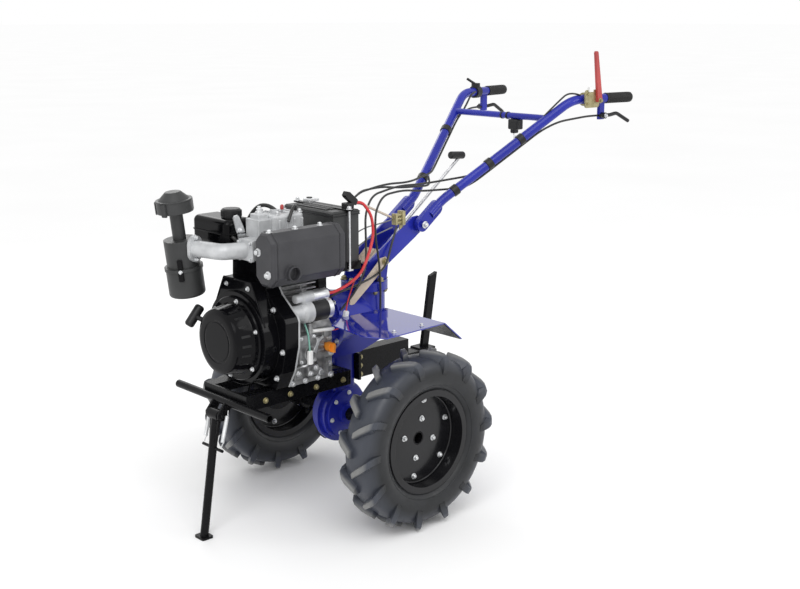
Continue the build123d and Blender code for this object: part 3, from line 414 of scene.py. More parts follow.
def add_block(shape, lowest, highest, round_by):
    """A box with rounded edges between two corners."""
    size = highest - lowest
    centre = (highest + lowest) / 2
    matrix = Matrix.Translation(centre) @ Matrix.Diagonal((*size, 1))
    made = bmesh.ops.create_cube(shape, size=1.0, matrix=matrix)
    edges = list({edge for vert in made["verts"] for edge in vert.link_edges})
    bmesh.ops.bevel(shape, geom=edges, offset=round_by, segments=3, affect="EDGES", profile=0.5)


def blocks(name, base, corners, round_by, finish, body="chassis"):
    """Rounded boxes as one piece, their corners given from a base."""
    shape = bmesh.new()
    for pair in corners:
        add_block(shape, *shifted(base, pair), round_by)
    return from_bmesh(name, shape, finish, body)


def add_bolt(shape, place, axis, size):
    """A washer, a hexagon head with chamfered corners and the stud's end."""
    turn = facing(place, axis)
    washer = size * 0.14
    head = size * 0.62
    corner = size * 0.577
    add_disc(shape, turn, 0, washer, size * 0.8)
    add_disc(shape, turn, washer, washer + head * 0.8, corner, sides=6)
    add_disc(shape, turn, washer + head * 0.8, washer + head, corner, size * 0.47, sides=6)
    add_disc(shape, turn, washer + head, washer + head * 1.2, size * 0.26, sides=12)


def bolts(name, places, axis, size, finish=plated_zinc, body="chassis"):
    """Hexagon bolts at several places, as one piece."""
    shape = bmesh.new()
    for place in places:
        add_bolt(shape, place, axis, size)
    return from_bmesh(name, shape, finish, body)


def circle(centre, axis, radius, count, start=0.0):
    """Places evenly round an axis."""
    turn = facing(centre, axis)
    angles = [start + 2 * math.pi * step / count for step in range(count)]
    return [turn @ Vector((radius * math.cos(a), radius * math.sin(a), 0)) for a in angles]


def lathe(name, rows, centre, axis, finish, body="chassis", sides=64, closed=False):
    """A (along, radius) outline turned about an axis."""
    turn = facing(centre, axis)
    angles = [2 * math.pi * step / sides for step in range(sides)]
    rings = [[turn @ Vector((radius * math.cos(a), radius * math.sin(a), along)) for a in angles]
             for along, radius in rows]
    obj = skin(name, rings, finish, body, True, closed)
    obj.modifiers.new("edges", "EDGE_SPLIT").split_angle = math.radians(38)
    return obj


def add_ring(shape, centre, axis, radius, wire, sides=96, around=10):
    """A round wire bent to a ring."""
    turn = facing(centre, axis)
    rows = []
    for step in range(sides):
        a = 2 * math.pi * step / sides
        row = []
        for turn_step in range(around):
            b = 2 * math.pi * turn_step / around
            out = radius + wire * math.cos(b)
            row.append(turn @ Vector((out * math.cos(a), out * math.sin(a), wire * math.sin(b))))
        rows.append(row)
    add_skin(shape, rows, looped=True)


def rings(name, centre, kinds, finish, body):
    """Pairs of (offset, radius, wire) rings across the machine, as one piece."""
    shape = bmesh.new()
    for offset, radius, wire in kinds:
        for sign in (1, -1):
            add_ring(shape, centre + left * (sign * offset), left, radius, wire)
    return from_bmesh(name, shape, finish, body, smooth=True)


def tube_curve(name, points, radius):
    """A smooth tube whose control points are a route."""
    curve = bpy.data.curves.new(name, "CURVE")
    curve.dimensions = "3D"
    curve.bevel_depth = radius
    curve.bevel_resolution = 4
    curve.resolution_u = 10
    curve.use_fill_caps = True
    line = curve.splines.new("NURBS")
    line.points.add(len(points) - 1)
    for knot, place in zip(line.points, points):
        knot.co = (*place, 1)
    line.order_u = 3
    line.use_endpoint_u = True
    return curve


def tube(name, points, radius, finish, body="chassis"):
    """A hose, wire or bent rod as a mesh along a smooth line."""
    guide = bpy.data.objects.new(name + "_line", tube_curve(name + "_line", points, radius))
    bpy.context.scene.collection.objects.link(guide)
    bpy.context.view_layer.update()
    mesh = bpy.data.meshes.new_from_object(guide.evaluated_get(bpy.context.evaluated_depsgraph_get()))
    bpy.data.objects.remove(guide)
    mesh.materials.clear()
    return piece(name, mesh, finish, body)


def strip(name, base, stations, thickness, finish):
    """A flat bar through (place, width) stations from a base, thin across the machine."""
    places = shifted(base, [place for place, _ in stations])
    last = len(stations) - 1
    rows = []
    for step, (_, width) in enumerate(stations):
        course = (places[min(step + 1, last)] - places[max(step - 1, 0)]).normalized()
        wide = course.cross(left).normalized() * (width / 2)
        thin = wide.cross(course).normalized() * (thickness / 2)
        rows.append([places[step] + wide * a + thin * b for a, b in ((-1, -1), (1, -1), (1, 1), (-1, 1))])
    return skin(name, rows, finish)


# Wheels

def add_lug(shape, centre, half, start):
    """One bar of the tread, swept back from the crown to the shoulder."""
    last = len(lug_rows) - 1
    rows = []
    for step, (across, top, foot) in enumerate(lug_rows):
        share = step / last
        angle = start - lug_sweep * (1 - (1 - share) ** lug_curl)
        width = lug_half * (0.82 + 0.3 * share)
        flank = across if step < crown_rows else across - lug_sink
        outline = ((-1.35, foot, flank), (-0.95, top - lug_edge, across), (-0.75, top, across),
                   (0.75, top, across), (0.95, top - lug_edge, across), (1.35, foot, flank))
        row = []
        for offset, radius, y in outline:
            a = angle + offset * width / tyre_radius
            row.append((radius * math.sin(a), half * y, radius * math.cos(a)))
        rows.append(shifted(centre, row))
    add_skin(shape, rows)


def tyre(side):
    """The rounded carcass, its lugs and the bead line, in place of the plain CAD tyre."""
    body = f"wheel_{side}"
    centre = middle(f"rim_{side}")
    rows = [*carcass_rows, *[(-across, radius) for across, radius in reversed(carcass_rows)]]
    carcass = lathe(f"tyre_carcass_{side}", rows, centre, left, rubber_tyre, body, ring_steps, True)
    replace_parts(carcass, f"tyre_{side}")
    pitch = 2 * math.pi / lug_count
    shape = bmesh.new()
    for half, shift in ((1, 0), (-1, 0.5)):
        for step in range(lug_count):
            add_lug(shape, centre, half, lug_start + (step + shift) * pitch)
    from_bmesh(f"tyre_lugs_{side}", shape, rubber_tyre, body)
    rings(f"tyre_lines_{side}", centre, (bead_line,), rubber_tyre, body)


def wheel(side, sign):
    """Tyre, rolled rim edges and the bolts of disc and hub."""
    body = f"wheel_{side}"
    centre = middle(f"rim_{side}")
    out = left * sign
    tyre(side)
    half = (high(f"rim_{side}").y - low(f"rim_{side}").y) / 2
    edge = (half - rim_edge_inset, rim_edge_radius, rim_edge_wire)
    rings(f"rim_edges_{side}", centre, (edge, rim_seat), paint_rim, body)
    for name, axis, radius, count, start in (("disc_bolts", out, disc_bolt_circle, 6, disc_bolt_turn),
                                             ("hub_bolts", out, hub_bolt_circle, 4, hub_bolt_turn),
                                             ("disc_nuts", -out, disc_bolt_circle, 6, disc_bolt_turn)):
        places = circle(centre + axis * disc_half, axis, radius, count, start)
        bolts(f"{name}_{side}", places, axis, small_bolt, body=body)


# Engine

def recoil():
    """The turned starter cover with its face groove, slots and bolts."""
    lowest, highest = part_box("recoil_starter")
    base = Vector((lowest.x, middle("recoil_starter").y, middle("recoil_starter").z))
    depth = highest.x - lowest.x
    rows = [(0, 0.1095), (0.005, 0.1098), (0.008, 0.107), (0.009, 0.094), (0.012, 0.0915),
            (depth - 0.011, 0.0862), (depth - 0.004, 0.0835), (depth - 0.0008, 0.077), (depth, 0.07),
            (depth, 0.0565), (depth - 0.0014, 0.0555), (depth - 0.0014, 0.0515), (depth, 0.0505),
            (depth, 0.004)]
    cover = lathe("recoil_cover", rows, base, forward, paint_black, sides=96)
    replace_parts(cover, "recoil_starter")
    shape = bmesh.new()
    for step in range(vent_count):
        spin = facing(base, forward) @ Matrix.Rotation(2 * math.pi * step / vent_count, 4, "Z")
        add_cube(shape, spin @ Matrix.Translation(vent_place) @ Matrix.Rotation(vent_lean, 4, "Y"), vent_size)
    from_bmesh("recoil_slots", shape, plastic_black)
    bolts("recoil_bolts", circle(base + forward * 0.008, forward, 0.1015, 6, 0.35), forward, tiny_bolt)


def shroud():
    """The fan housing's edge beads, rear flange and bolts."""
    crank = middle("recoil_starter")
    rear = low("fan_shroud").x
    front = Vector((low("recoil_starter").x - 0.008, crank.y, crank.z))
    bottom, top = low("fan_shroud").z, high("fan_shroud").z
    crown = top - crank.z
    bead = 0.0022
    for sign, side in both_sides:
        ridge = [(0, sign * 0.113, 0.046), (0, sign * 0.086, 0.1), (0, sign * 0.0585, crown - 0.05)]
        tube(f"shroud_bead_{side}", shifted(front, ridge), bead, paint_black)
    ridge = [(0, -0.058, crown - 0.049), (0, 0, crown - 0.0485), (0, 0.058, crown - 0.049)]
    tube("shroud_bead_top", shifted(front, ridge), bead, paint_black)
    half = [(0.1045, bottom), (0.1315, bottom + 0.0475), (0.1495, bottom + 0.1148),
            (0.1515, crank.z + 0.0555), (0.1452, crank.z + 0.0682), (0.0853, crank.z + 0.116),
            (0.0735, crank.z + 0.1337), (0.0695, top)]
    outline = [(crank.y + y, z) for y, z in half] + [(crank.y - y, z) for y, z in reversed(half)]
    flange = [[(x, y, z) for y, z in outline] for x in (rear + 0.0004, rear + 0.0052)]
    skin("shroud_flange", flange, cast_alloy)
    places = shifted(front, [(0.0002, 0.046, crown - 0.066), (0.0002, -0.046, crown - 0.066)])
    bolts("shroud_front_bolts", places, forward, tiny_bolt)
    places = [(rear + 0.045, crank.y + sign * y, z) for sign in (1, -1)
              for y, z in ((0.136, crank.z - 0.02), (0.11, bottom + 0.032), (0.102, crank.z + 0.084))]
    bolts("shroud_side_bolts", places, forward, small_bolt)


def muffler():
    """The silencer's bolts, its two folded seams and the lip of its outlet."""
    lowest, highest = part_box("muffler")
    front = highest.x
    y1 = highest.y - outlet_reach
    y0 = y1 - muffler_depth
    z0, z1 = lowest.z, highest.z
    cut = muffler_chamfer
    places = [(front, y0 + 0.017, z0 + 0.085), (front, y1 - 0.019, z0 + 0.033)]
    bolts("muffler_end_bolts", places, forward, middle_bolt)
    places = [(lowest.x + along, y1 - cut - 0.01, z1) for along in (0.062, 0.142, 0.222)]
    bolts("muffler_top_bolts", places, up, small_bolt)
    corners = [(y0 + cut, z0), (y1 - cut, z0), (y1, z0 + cut), (y1, z1 - cut),
               (y1 - cut, z1), (y0 + cut, z1), (y0, z1 - cut), (y0, z0 + cut)]
    fold = ((-0.003, -0.0008), (-0.0016, 0.0016), (0.0016, 0.0016), (0.003, -0.0008))
    shape = bmesh.new()
    for x in (lowest.x + 0.022, front - 0.016):
        rows = []
        for y, z in corners:
            out = Vector((0, y - (y0 + y1) / 2, z - (z0 + z1) / 2)).normalized()
            rows.append([Vector((x + along, y, z)) + out * rise for along, rise in fold])
        add_skin(shape, rows, looped=True)
    from_bmesh("muffler_seams", shape, paint_shield)
    shape = bmesh.new()
    lip = 0.0018
    add_ring(shape, Vector((front - 0.06, highest.y - lip, z0 + 0.032)), left, outlet_lip_radius, lip)
    from_bmesh("outlet_lip", shape, paint_shield, smooth=True)


def starter():
    """The electric starter: plated cap, black body, cast nose and its switch."""
    lowest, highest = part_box("starter_motor")
    y = (lowest.y + highest.y) / 2
    z = lowest.z + (highest.y - lowest.y) / 2
    length = highest.x - lowest.x
    base = Vector((lowest.x, y, z))
    relay = Vector((lowest.x, y, highest.z - 0.016))
    turned = (
        ("starter_cap", base, plated_zinc,
         [(0.0, 0.016), (0.001, 0.022), (0.004, 0.0275), (0.018, 0.0283), (0.0185, 0.0283)]),
        ("starter_body", base, plastic_black,
         [(0.0185, 0.0286), (0.02, 0.0288), (0.066, 0.0288), (0.067, 0.0286)]),
        ("starter_nose", base, cast_alloy,
         [(0.067, 0.0286), (0.069, 0.0289), (0.09, 0.0285), (0.097, 0.0215), (length, 0.0205)]),
        ("starter_switch", relay, plated_zinc,
         [(0.01, 0.01), (0.0105, 0.0152), (0.012, 0.0158), (0.058, 0.0158), (0.06, 0.015)]),
        ("starter_switch_nose", relay, cast_alloy,
         [(0.06, 0.0156), (0.09, 0.0156), (0.094, 0.0112), (0.1135, 0.0108), (0.114, 0.009)]),
    )
    for name, place, finish, rows in turned:
        lathe(name, rows, place, forward, finish)
    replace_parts(bpy.data.objects["starter_body"], "starter_motor")
    studs = shifted(relay, [(0.0102, side * 0.007, 0.002) for side in (-1, 1)])
    bolts("starter_studs", studs, -forward, screw, plated_yellow)
    blocks("starter_bracket", base, [((0.07, -0.006, 0.02), (0.09, 0.006, 0.04))], 0.002, cast_alloy)


def crankcase():
    """Cast covers and relief, bolts, drain plug, pipes and wiring on the near side of the crankcase."""
    lowest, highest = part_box("crankcase")
    face = Vector((lowest.x, highest.y, lowest.z))
    wall = face - left * 0.006
    pump, pump_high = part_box("injection_pump")
    pump_wide, pump_tall = pump_high.x - pump.x, pump_high.z - pump.z
    cover_tall = 0.076
    places = shifted(face, [(0.012 + 0.042 * step, 0, 0.006) for step in range(4)])
    bolts("sump_bolts", places, left, small_bolt)
    places = shifted(wall, [(0.01, 0, 0.035 + 0.036 * step) for step in range(3)])
    bolts("case_rear_bolts", places, left, small_bolt)
    inset = 0.007
    places = [(x, 0.026, z) for x in (inset, pump_wide - inset) for z in (inset, cover_tall - inset)]
    bolts("pump_bolts", shifted(pump, places), left, screw)
    rows = [(0, 0.02), (0.002, 0.0205), (0.009, 0.0195), (0.012, 0.0165), (0.012, 0.003)]
    lathe("pump_cover", rows, pump + Vector((0.028, 0.026, 0.03)), left, cast_case)
    pipe = shifted(pump, [(0.012, 0.015, pump_tall - 0.002), (0.012, 0.016, pump_tall + 0.03)])
    pipe += [(pump.x + 0.004, face.y - 0.012, pump_high.z + 0.07),
             (face.x + 0.07, face.y - 0.022, highest.z - 0.004),
             (face.x + 0.076, mid_y + 0.056, highest.z + 0.04)]
    tube("injector_pipe", pipe, 0.003, steel_drawn)
    wire = [(0.003, -0.008, 0.128), (0.006, 0.016, 0.135), (0.04, 0.022, 0.138), (0.085, 0.019, 0.142)]
    tube("sender_sleeve", shifted(face, wire), 0.0046, plastic_white)
    wire = [(0.034, 0.02, cover_tall + 0.032), (0.034, 0.034, cover_tall + 0.014),
            (0.035, 0.0415, cover_tall - 0.02), (0.034, 0.0415, 0.034)]
    tube("sender_wire", shifted(pump, wire), 0.0024, plastic_green)
    blocks("sender_plug", pump, [((0.027, 0.037, 0.002), (0.041, 0.048, 0.039))], 0.003, plastic_white)
    relief = [((0.004, -0.001, 0.056), (0.066, 0.007, 0.074)), ((0.034, -0.001, 0.072), (0.066, 0.01, 0.118)),
              ((0.004, -0.001, 0.11), (0.03, 0.006, 0.136)), ((0.11, -0.001, 0.014), (0.136, 0.012, 0.05)),
              ((0.06, -0.001, 0.018), (0.094, 0.016, 0.046))]
    for step in range(3):
        z = 0.078 + 0.013 * step
        relief.append(((0.036, 0.008, z), (0.064, 0.014, z + 0.006)))
    blocks("case_relief", wall, relief, 0.0024, cast_case)
    places = [(0.01, 0.007, 0.065), (0.06, 0.01, 0.11), (0.068, 0.016, 0.038), (0.086, 0.016, 0.026),
              (0.123, 0.012, 0.032)]
    bolts("case_face_bolts", shifted(wall, places), left, small_bolt)
    line = shifted(wall, [(0.123, 0.01, 0.046), (0.126, 0.026, 0.056), (0.112, 0.034, 0.054)])
    line += shifted(pump, [(0.028, 0.03, 0.006)])
    tube("feed_pipe", line, 0.003, plated_zinc)
    stations = [((0.016, 0, 0.03), 0.01), ((0.002, 0, 0.06), 0.008), ((-0.014, 0, 0.068), 0.006)]
    strip("governor_lever", pump + left * 0.0385, stations, 0.0022, plated_zinc)
    rows = [(0, 0.0115), (0.003, 0.0115), (0.0032, 0.0085), (0.01, 0.0085), (0.011, 0.0075)]
    lathe("drain_plug", rows, face + Vector((0.05, 0, 0.022)), left, plated_zinc, sides=6)
    cap = middle("oil_filler_cap")
    cap.y = high("oil_filler_cap").y
    blocks("oil_cap_wing", cap, [((-0.0035, -0.001, -0.013), (0.0035, 0.01, 0.013))], 0.002, plastic_orange)


def head():
    """Relief, bolts and injector of the head, its hoses, the lifting eye and the decompression knob."""
    lowest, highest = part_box("cylinder_head")
    rocker = highest.z - 0.01
    seat = -0.055
    front = Vector((highest.x, mid_y, rocker))
    centre = Vector((middle("cylinder_head").x, mid_y, rocker))
    back = centre.x - front.x
    places = shifted(centre, [(x, y, 0) for x in (-0.038, 0.034) for y in (-0.034, 0.034)])
    bolts("rocker_bolts", places, up, small_bolt)
    places = [(lowest.x + x, mid_y + 0.06, rocker + seat) for x in (0.01, 0.106)]
    bolts("head_nuts", places, up, middle_bolt)
    relief = [((back - 0.055, -0.051, seat - 0.001), (back + 0.055, 0.051, seat + 0.006)),
              ((-0.012, -0.02, seat - 0.001), (0.036, 0.036, -0.008)),
              ((-0.004, -0.012, -0.024), (0.028, 0.026, 0.004)),
              ((0, -0.0035, seat - 0.0525), (0.064, 0.0475, seat + 0.001)),
              ((0.062, -0.008, seat - 0.0535), (0.07, 0.052, seat))]
    for step in range(3):
        rib = back - 0.03 + 0.026 * step
        relief.append(((rib, -0.03, -0.002), (rib + 0.006, 0.03, 0.0035)))
    for step in range(4):
        rib = back - 0.04 + 0.024 * step
        relief.append(((rib, 0.042, seat + 0.004), (rib + 0.006, 0.049, -0.012)))
    blocks("rocker_relief", front, relief, 0.0022, cast_alloy)
    nozzle = [(0, 0.01), (0.006, 0.01), (0.0065, 0.0075), (0.014, 0.0075), (0.015, 0.005), (0.02, 0.0045)]
    lathe("injector", nozzle, front + Vector((0.012, 0.007, 0.003)), up, plated_zinc, sides=24)
    places = [(front.x + 0.07, mid_y + 0.022 + across * 0.024, neck_face.z + rise * 0.021)
              for across in (1, -1) for rise in (1, -1)]
    bolts("intake_port_bolts", places, forward, tiny_bolt)
    hose = [(0.02, 0.01, 0.006), (0.024, -0.01, 0.02), (0.04, -0.05, 0.014), (0.054, -0.062, -0.02)]
    tube("breather_hose", shifted(centre, hose), 0.0052, jacket_black)
    hose = [(-0.03, 0.02, -0.002), (-0.034, 0.028, 0.018), (-0.008, 0.044, 0.016), (0.012, 0.052, -0.018)]
    tube("leak_hose", shifted(centre, hose), 0.0042, jacket_black)
    stem = front + Vector((-0.055, 0.015, -0.002))
    lathe("knob_stem", [(0, 0.0035), (0.012, 0.003)], stem, up, steel_drawn, sides=16)
    rows = [(0, 0.003), (0.001, 0.0046), (0.008, 0.005), (0.012, 0.0038), (0.0135, 0.001)]
    lathe("knob_red", rows, stem + up * 0.01, up, paint_red, sides=24)
    tank_low, tank_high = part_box("fuel_tank")
    side = Vector((tank_low.x, tank_high.y, tank_low.z))
    tall = tank_high.z - tank_low.z
    stations = [((0.034, 0.0012, 0.014), 0.026), ((0.046, 0.0012, 0.05), 0.024),
                ((0.056, 0.0012, tall + 0.006), 0.018), ((0.057, 0.0012, tall + 0.011), 0.01)]
    strip("lifting_eye", side, stations, 0.004, plated_zinc)
    bolts("eye_bolt", shifted(side, [(0.044, 0.003, 0.044)]), left, small_bolt)
    line = [(0.06, -0.006, 0.022), (0.08, 0.012, 0.038), (0.06, 0.018, 0.012), (0.03, 0.022, -0.006)]
    tube("fuel_hose", shifted(side, line), 0.0042, jacket_black)


def tank():
    """The pressed seam round the tank and the grip of its cap."""
    lowest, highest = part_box("fuel_tank")
    centre = (lowest + highest) / 2
    half = (highest - lowest) / 2
    rounded = 0.018
    fold = ((-0.002, -0.0022), (0.0034, -0.0014), (0.0034, 0.0014), (-0.002, 0.0022))
    rows = []
    for sx, sy, start in ((1, 1, 0), (-1, 1, 90), (-1, -1, 180), (1, -1, 270)):
        corner = centre + Vector((sx * (half.x - rounded), sy * (half.y - rounded), 0))
        for step in range(7):
            a = math.radians(start + 15 * step)
            out = Vector((math.cos(a), math.sin(a), 0))
            rows.append([corner + out * (rounded + away) + up * rise for away, rise in fold])
    skin("tank_seam", rows, paint_black, looped=True)
    cap_low, cap_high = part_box("fuel_cap")
    foot = (cap_low + cap_high) / 2
    foot.z = cap_low.z + 0.003
    shape = bmesh.new()
    for place in circle(foot, up, (cap_high.x - cap_low.x) / 2, 28):
        add_disc(shape, facing(place, up), 0, cap_high.z - cap_low.z - 0.008, 0.0014, sides=8)
    from_bmesh("fuel_cap_ridges", shape, plastic_black)


def cleaner_turn(bearing):
    """The air cleaner's own axes, turned by a bearing about it."""
    return facing(cleaner_foot, cleaner_axis) @ Matrix.Rotation(bearing, 4, "Z")


def clips(name, bearings, places, size, finish):
    """Clips round the air cleaner's axis, at (out, along) places."""
    shape = bmesh.new()
    for bearing in bearings:
        for out, along in places:
            add_cube(shape, cleaner_turn(bearing) @ Matrix.Translation((out, 0, along)), size)
    soften(shape, 0.0016)
    from_bmesh(name, shape, finish)


def air_filter():
    """Clips and rim of the air cleaner and its dust cap, and the bolts of the intake's neck."""
    places = ((cleaner_radius + 0.002, 0.062), (cleaner_radius - 0.003, 0.092))
    clips("cleaner_clips", clip_bearings, places, (0.007, 0.014, 0.026), paint_frame)
    nut = cleaner_turn(clip_bearings[0])
    bolts("clip_screw", [nut @ Vector((cleaner_radius + 0.0045, 0, 0.074))], nut.to_3x3() @ forward, screw)
    places = ((dust_cap_radius + 0.0012, dust_cap_base + 0.013),)
    clips("dust_cap_clips", cap_clip_bearings, places, (0.006, 0.016, 0.034), plastic_grey)
    rim = ((0.0285, -0.001), (0.029, 0.001), (0.0325, 0.001), (0.033, -0.0075))
    rows = [(dust_cap_base + along, dust_cap_radius + out) for along, out in rim]
    lathe("dust_cap_rim", rows, cleaner_foot, cleaner_axis, plastic_grey, sides=72)
    places = [neck_face + up * (sign * 0.0275) for sign in (1, -1)]
    bolts("intake_neck_bolts", places, neck_course, small_bolt)


# Battery and wiring

def battery():
    """Ridges of the lid, terminal clamps, the black strap over it and the rods' nuts."""
    lowest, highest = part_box("battery")
    centre = (lowest + highest) / 2
    top = highest.z - 0.014
    wide = highest.y - lowest.y
    ribs = [((x, 0.04, -0.001), (x + 0.013, wide - 0.04, 0.0028))
            for x in [0.013 + 0.0185 * step for step in range(4)]]
    blocks("battery_ribs", (lowest.x, lowest.y, top), ribs, 0.0012, plastic_black)
    corners = ((highest.x, highest.y), (lowest.x, highest.y), (lowest.x, lowest.y), (highest.x, lowest.y))
    line = ((-0.002, -0.0012), (0.0012, 0), (0.0012, 0.0012), (-0.002, 0.0024))
    shape = bmesh.new()
    for rise in (0.0, 0.0065):
        rows = []
        for x, y in corners:
            out = Vector((math.copysign(1, x - centre.x), math.copysign(1, y - centre.y), 0))
            place = Vector((x, y, top - 0.0125 + rise))
            rows.append([place + out * away + up * lift for away, lift in line])
        add_skin(shape, rows, looped=True)
    from_bmesh("battery_lid_lines", shape, plastic_black)
    post = Vector((lowest.x + 0.022, mid_y - 0.08, top))
    clamp = [((-0.013, -0.012, 0.0005), (0.013, 0.012, 0.0115)),
             ((-0.03, -0.006, 0.0005), (-0.011, 0.006, 0.0085))]
    blocks("battery_clamp", post, clamp, 0.002, plated_zinc)
    post = Vector((lowest.x + 0.022, mid_y + 0.08, top))
    cover = [((-0.013, -0.012, 0.0005), (0.013, 0.012, 0.0165))]
    blocks("terminal_cover", post, cover, 0.003, plastic_black)
    stations = [((-0.026, 0, 0.014), 0.014), ((-0.022, 0, 0.016), 0.018), ((0.004, 0, 0.038), 0.018),
                ((0.01, 0, 0.042), 0.012)]
    strip("terminal_boot", post, stations, 0.016, plastic_black)
    strap_low, strap_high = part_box("battery_hold_down")
    x = (strap_low.x + strap_high.x) / 2
    strap = [((-0.0086, strap_low.y - 0.0006, -0.0006), (0.0086, strap_high.y + 0.0006, 0.0036))]
    blocks("hold_down_strap", (x, 0, top), strap, 0.001, paint_frame)
    places = [(x, y, top + 0.0036) for y in (strap_low.y + 0.006, strap_high.y - 0.006)]
    bolts("hold_down_nuts", places, up, small_bolt)


def wiring():
    """The thin wire on the battery lead with its white plug, the ground lead and the inner cables."""
    wire = [(0.28, 0.108, 0.646), (0.286, 0.106, 0.63), (0.2915, 0.101, 0.606),
            (0.3025, 0.1, 0.58), (0.306, 0.1, 0.556)]
    tube("plug_wire", wire, 0.0017, jacket_red)
    stations = [((0.305, 0.1, 0.56), 0.006), ((0.3055, 0.1, 0.557), 0.012),
                ((0.312, 0.1, 0.529), 0.012), ((0.3128, 0.1, 0.526), 0.008)]
    strip("wire_plug", origin, stations, 0.01, plastic_white)
    tail = [(0.3125, 0.1, 0.527), (0.3175, 0.099, 0.518), (0.329, 0.094, 0.513), (0.342, 0.0835, 0.51)]
    tube("plug_tail", tail, 0.0017, jacket_red)
    ground = [(0.256, 0.065, 0.837), (0.225, 0.06, 0.835), (0.19, 0.042, 0.824),
              (0.145, 0.022, 0.807), (0.07, 0.02, 0.774)]
    tube("ground_lead", ground, 0.0034, tan_strip)
    upper = [(0.066, 0.02, 0.766), (0.1, 0.02, 0.761), (0.18, 0.02, 0.755),
             (0.228, 0.01, 0.72), (0.242, 0.005, 0.667)]
    lower = [(0.066, 0.022, 0.745), (0.12, 0.02, 0.732), (0.164, 0.02, 0.721),
             (0.218, 0.014, 0.69), (0.242, 0.012, 0.6665)]
    for number, line in enumerate((upper, lower)):
        tube(f"inner_cable_{number}", line, 0.0018, jacket_grey)


# Gearbox and frame

def gearbox():
    """Bolts of the gear head, clutch bell, final drive, rails and drawbar."""
    lid = middle("gear_head_cover")
    lid = Vector((lid.x, mid_y, high("gear_head_cover").z))
    base = Vector((lid.x, mid_y, 0.47))
    bell = Vector((low("clutch_housing").x + 0.012, mid_y, middle("clutch_housing").z))
    bolts("lid_bolts", circle(lid, up, 0.057, 8, 0.2), up, middle_bolt, plated_yellow)
    bolts("lid_nuts", circle(lid - up * 0.026, -up, 0.0605, 8, 0.2), -up, small_bolt, plated_yellow)
    bolts("base_bolts", circle(base, up, 0.0615, 10, 0.1), up, small_bolt, plated_yellow)
    bolts("bell_bolts", circle(bell, forward, 0.0885, 10, 0.1), forward, small_bolt)
    axle = middle("final_drive_covers")
    for sign, side in both_sides:
        face = Vector((axle.x, mid_y + sign * 0.035, axle.z))
        bolts(f"drive_bolts_{side}", circle(face, left * sign, 0.059, 7, 0.6), left * sign, tiny_bolt)
    rail_low, rail_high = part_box("frame_rail_left")
    for sign, side in both_sides:
        y = mid_y + sign * (rail_high.y - mid_y)
        places = [(rail_low.x + share * 0.334, y, rail_low.z + 0.018) for share in (0.06, 0.34, 0.6, 0.84)]
        bolts(f"rail_bolts_{side}", places, left * sign, small_bolt, plated_yellow)
    face = high("hitch_bracket").x - 0.008
    places = [(face, mid_y + sign * 0.031, z) for sign in (1, -1) for z in (0.342, 0.367, 0.392)]
    bolts("hitch_bolts", places, -forward, middle_bolt, plated_yellow)


def handle_pivot():
    """The middle of the handlebar's hinge."""
    lowest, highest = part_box("handle_bracket")
    return Vector((lowest.x + pivot_back, mid_y, highest.z - pivot_drop))


def bracket():
    """The handle bracket's stay strip, pivot nuts, cable clamp, throttle cable and shift gate."""
    stations = [((0.2455, 0.0445, 0.5555), 0.005), ((0.2365, 0.0445, 0.564), 0.022),
                ((0.1495, 0.05, 0.639), 0.028), ((0.1165, 0.0308, 0.652), 0.028),
                ((0.0965, 0.0308, 0.656), 0.024)]
    strip("stay_strip", origin, stations, 0.003, tan_strip)
    bolts("strip_bolt", [(0.104, 0.0322, 0.6545)], left, middle_bolt, plated_yellow)
    pivot = handle_pivot()
    for sign, side in both_sides:
        bolts(f"pivot_nut_{side}", [pivot + left * (sign * 0.071)], left * sign, middle_bolt)
    clamp = [((0.056, 0.03, 0.004), (0.068, 0.052, 0.044)), ((0.084, 0.032, 0.006), (0.092, 0.05, 0.038)),
             ((0.059, 0.0385, -0.024), (0.07, 0.0435, 0.006))]
    for step in range(3):
        z = 0.01 + 0.0105 * step
        clamp.append(((0.066, 0.034, z), (0.086, 0.048, z + 0.006)))
    blocks("cable_clamp", pivot, clamp, 0.0014, plated_yellow)
    line = [(0.057, 0.03, 0.747), (0.0835, 0.037, 0.7), (0.101, 0.042, 0.662), (0.128, 0.053, 0.639),
            (0.175, 0.059, 0.624), (0.21, 0.062, 0.617), (0.2755, 0.077, 0.611), (0.33, 0.085, 0.608),
            (0.348, 0.08, 0.5985)]
    tube("throttle_cable", line, 0.003, jacket_black)
    shape = bmesh.new()
    lean = Matrix.Translation((0.12, mid_y, 0.6645)) @ Matrix.Rotation(math.radians(40), 4, "Y")
    for y, z, size in ((0, 0, (0.056, 0.0756, 0.004)), (0.03, 0.003, (0.052, 0.009, 0.004)),
                       (-0.03, 0.003, (0.052, 0.009, 0.004)), (0, 0.003, (0.052, 0.012, 0.003))):
        add_cube(shape, lean @ Matrix.Translation((0, y, z)), size)
    soften(shape, 0.001)
    from_bmesh("shift_gate", shape, tan_strip)


def guards():
    """Bolts of the mudguards and black sheets of painted shade under their rear flaps."""
    for sign, side in both_sides:
        top = high(f"mudguard_{side}").z
        bolts(f"guard_bolts_{side}", [(x, sign * 0.318, top) for x in (0.3365, 0.2395)], up, tiny_bolt)
        rows = []
        for along, inner, outer in flap_stations:
            place = flap_top + flap_course * along
            corners = ((inner, shade_sheet_top), (outer, shade_sheet_top), (outer, shade_sheet_foot), (inner, shade_sheet_foot))
            rows.append([place + left * (sign * y) - flap_normal * drop for y, drop in corners])
        # A black sheet that paints the shade on the flap
        skin(f"flap_shade_sheet_{side}", rows, paint_frame)


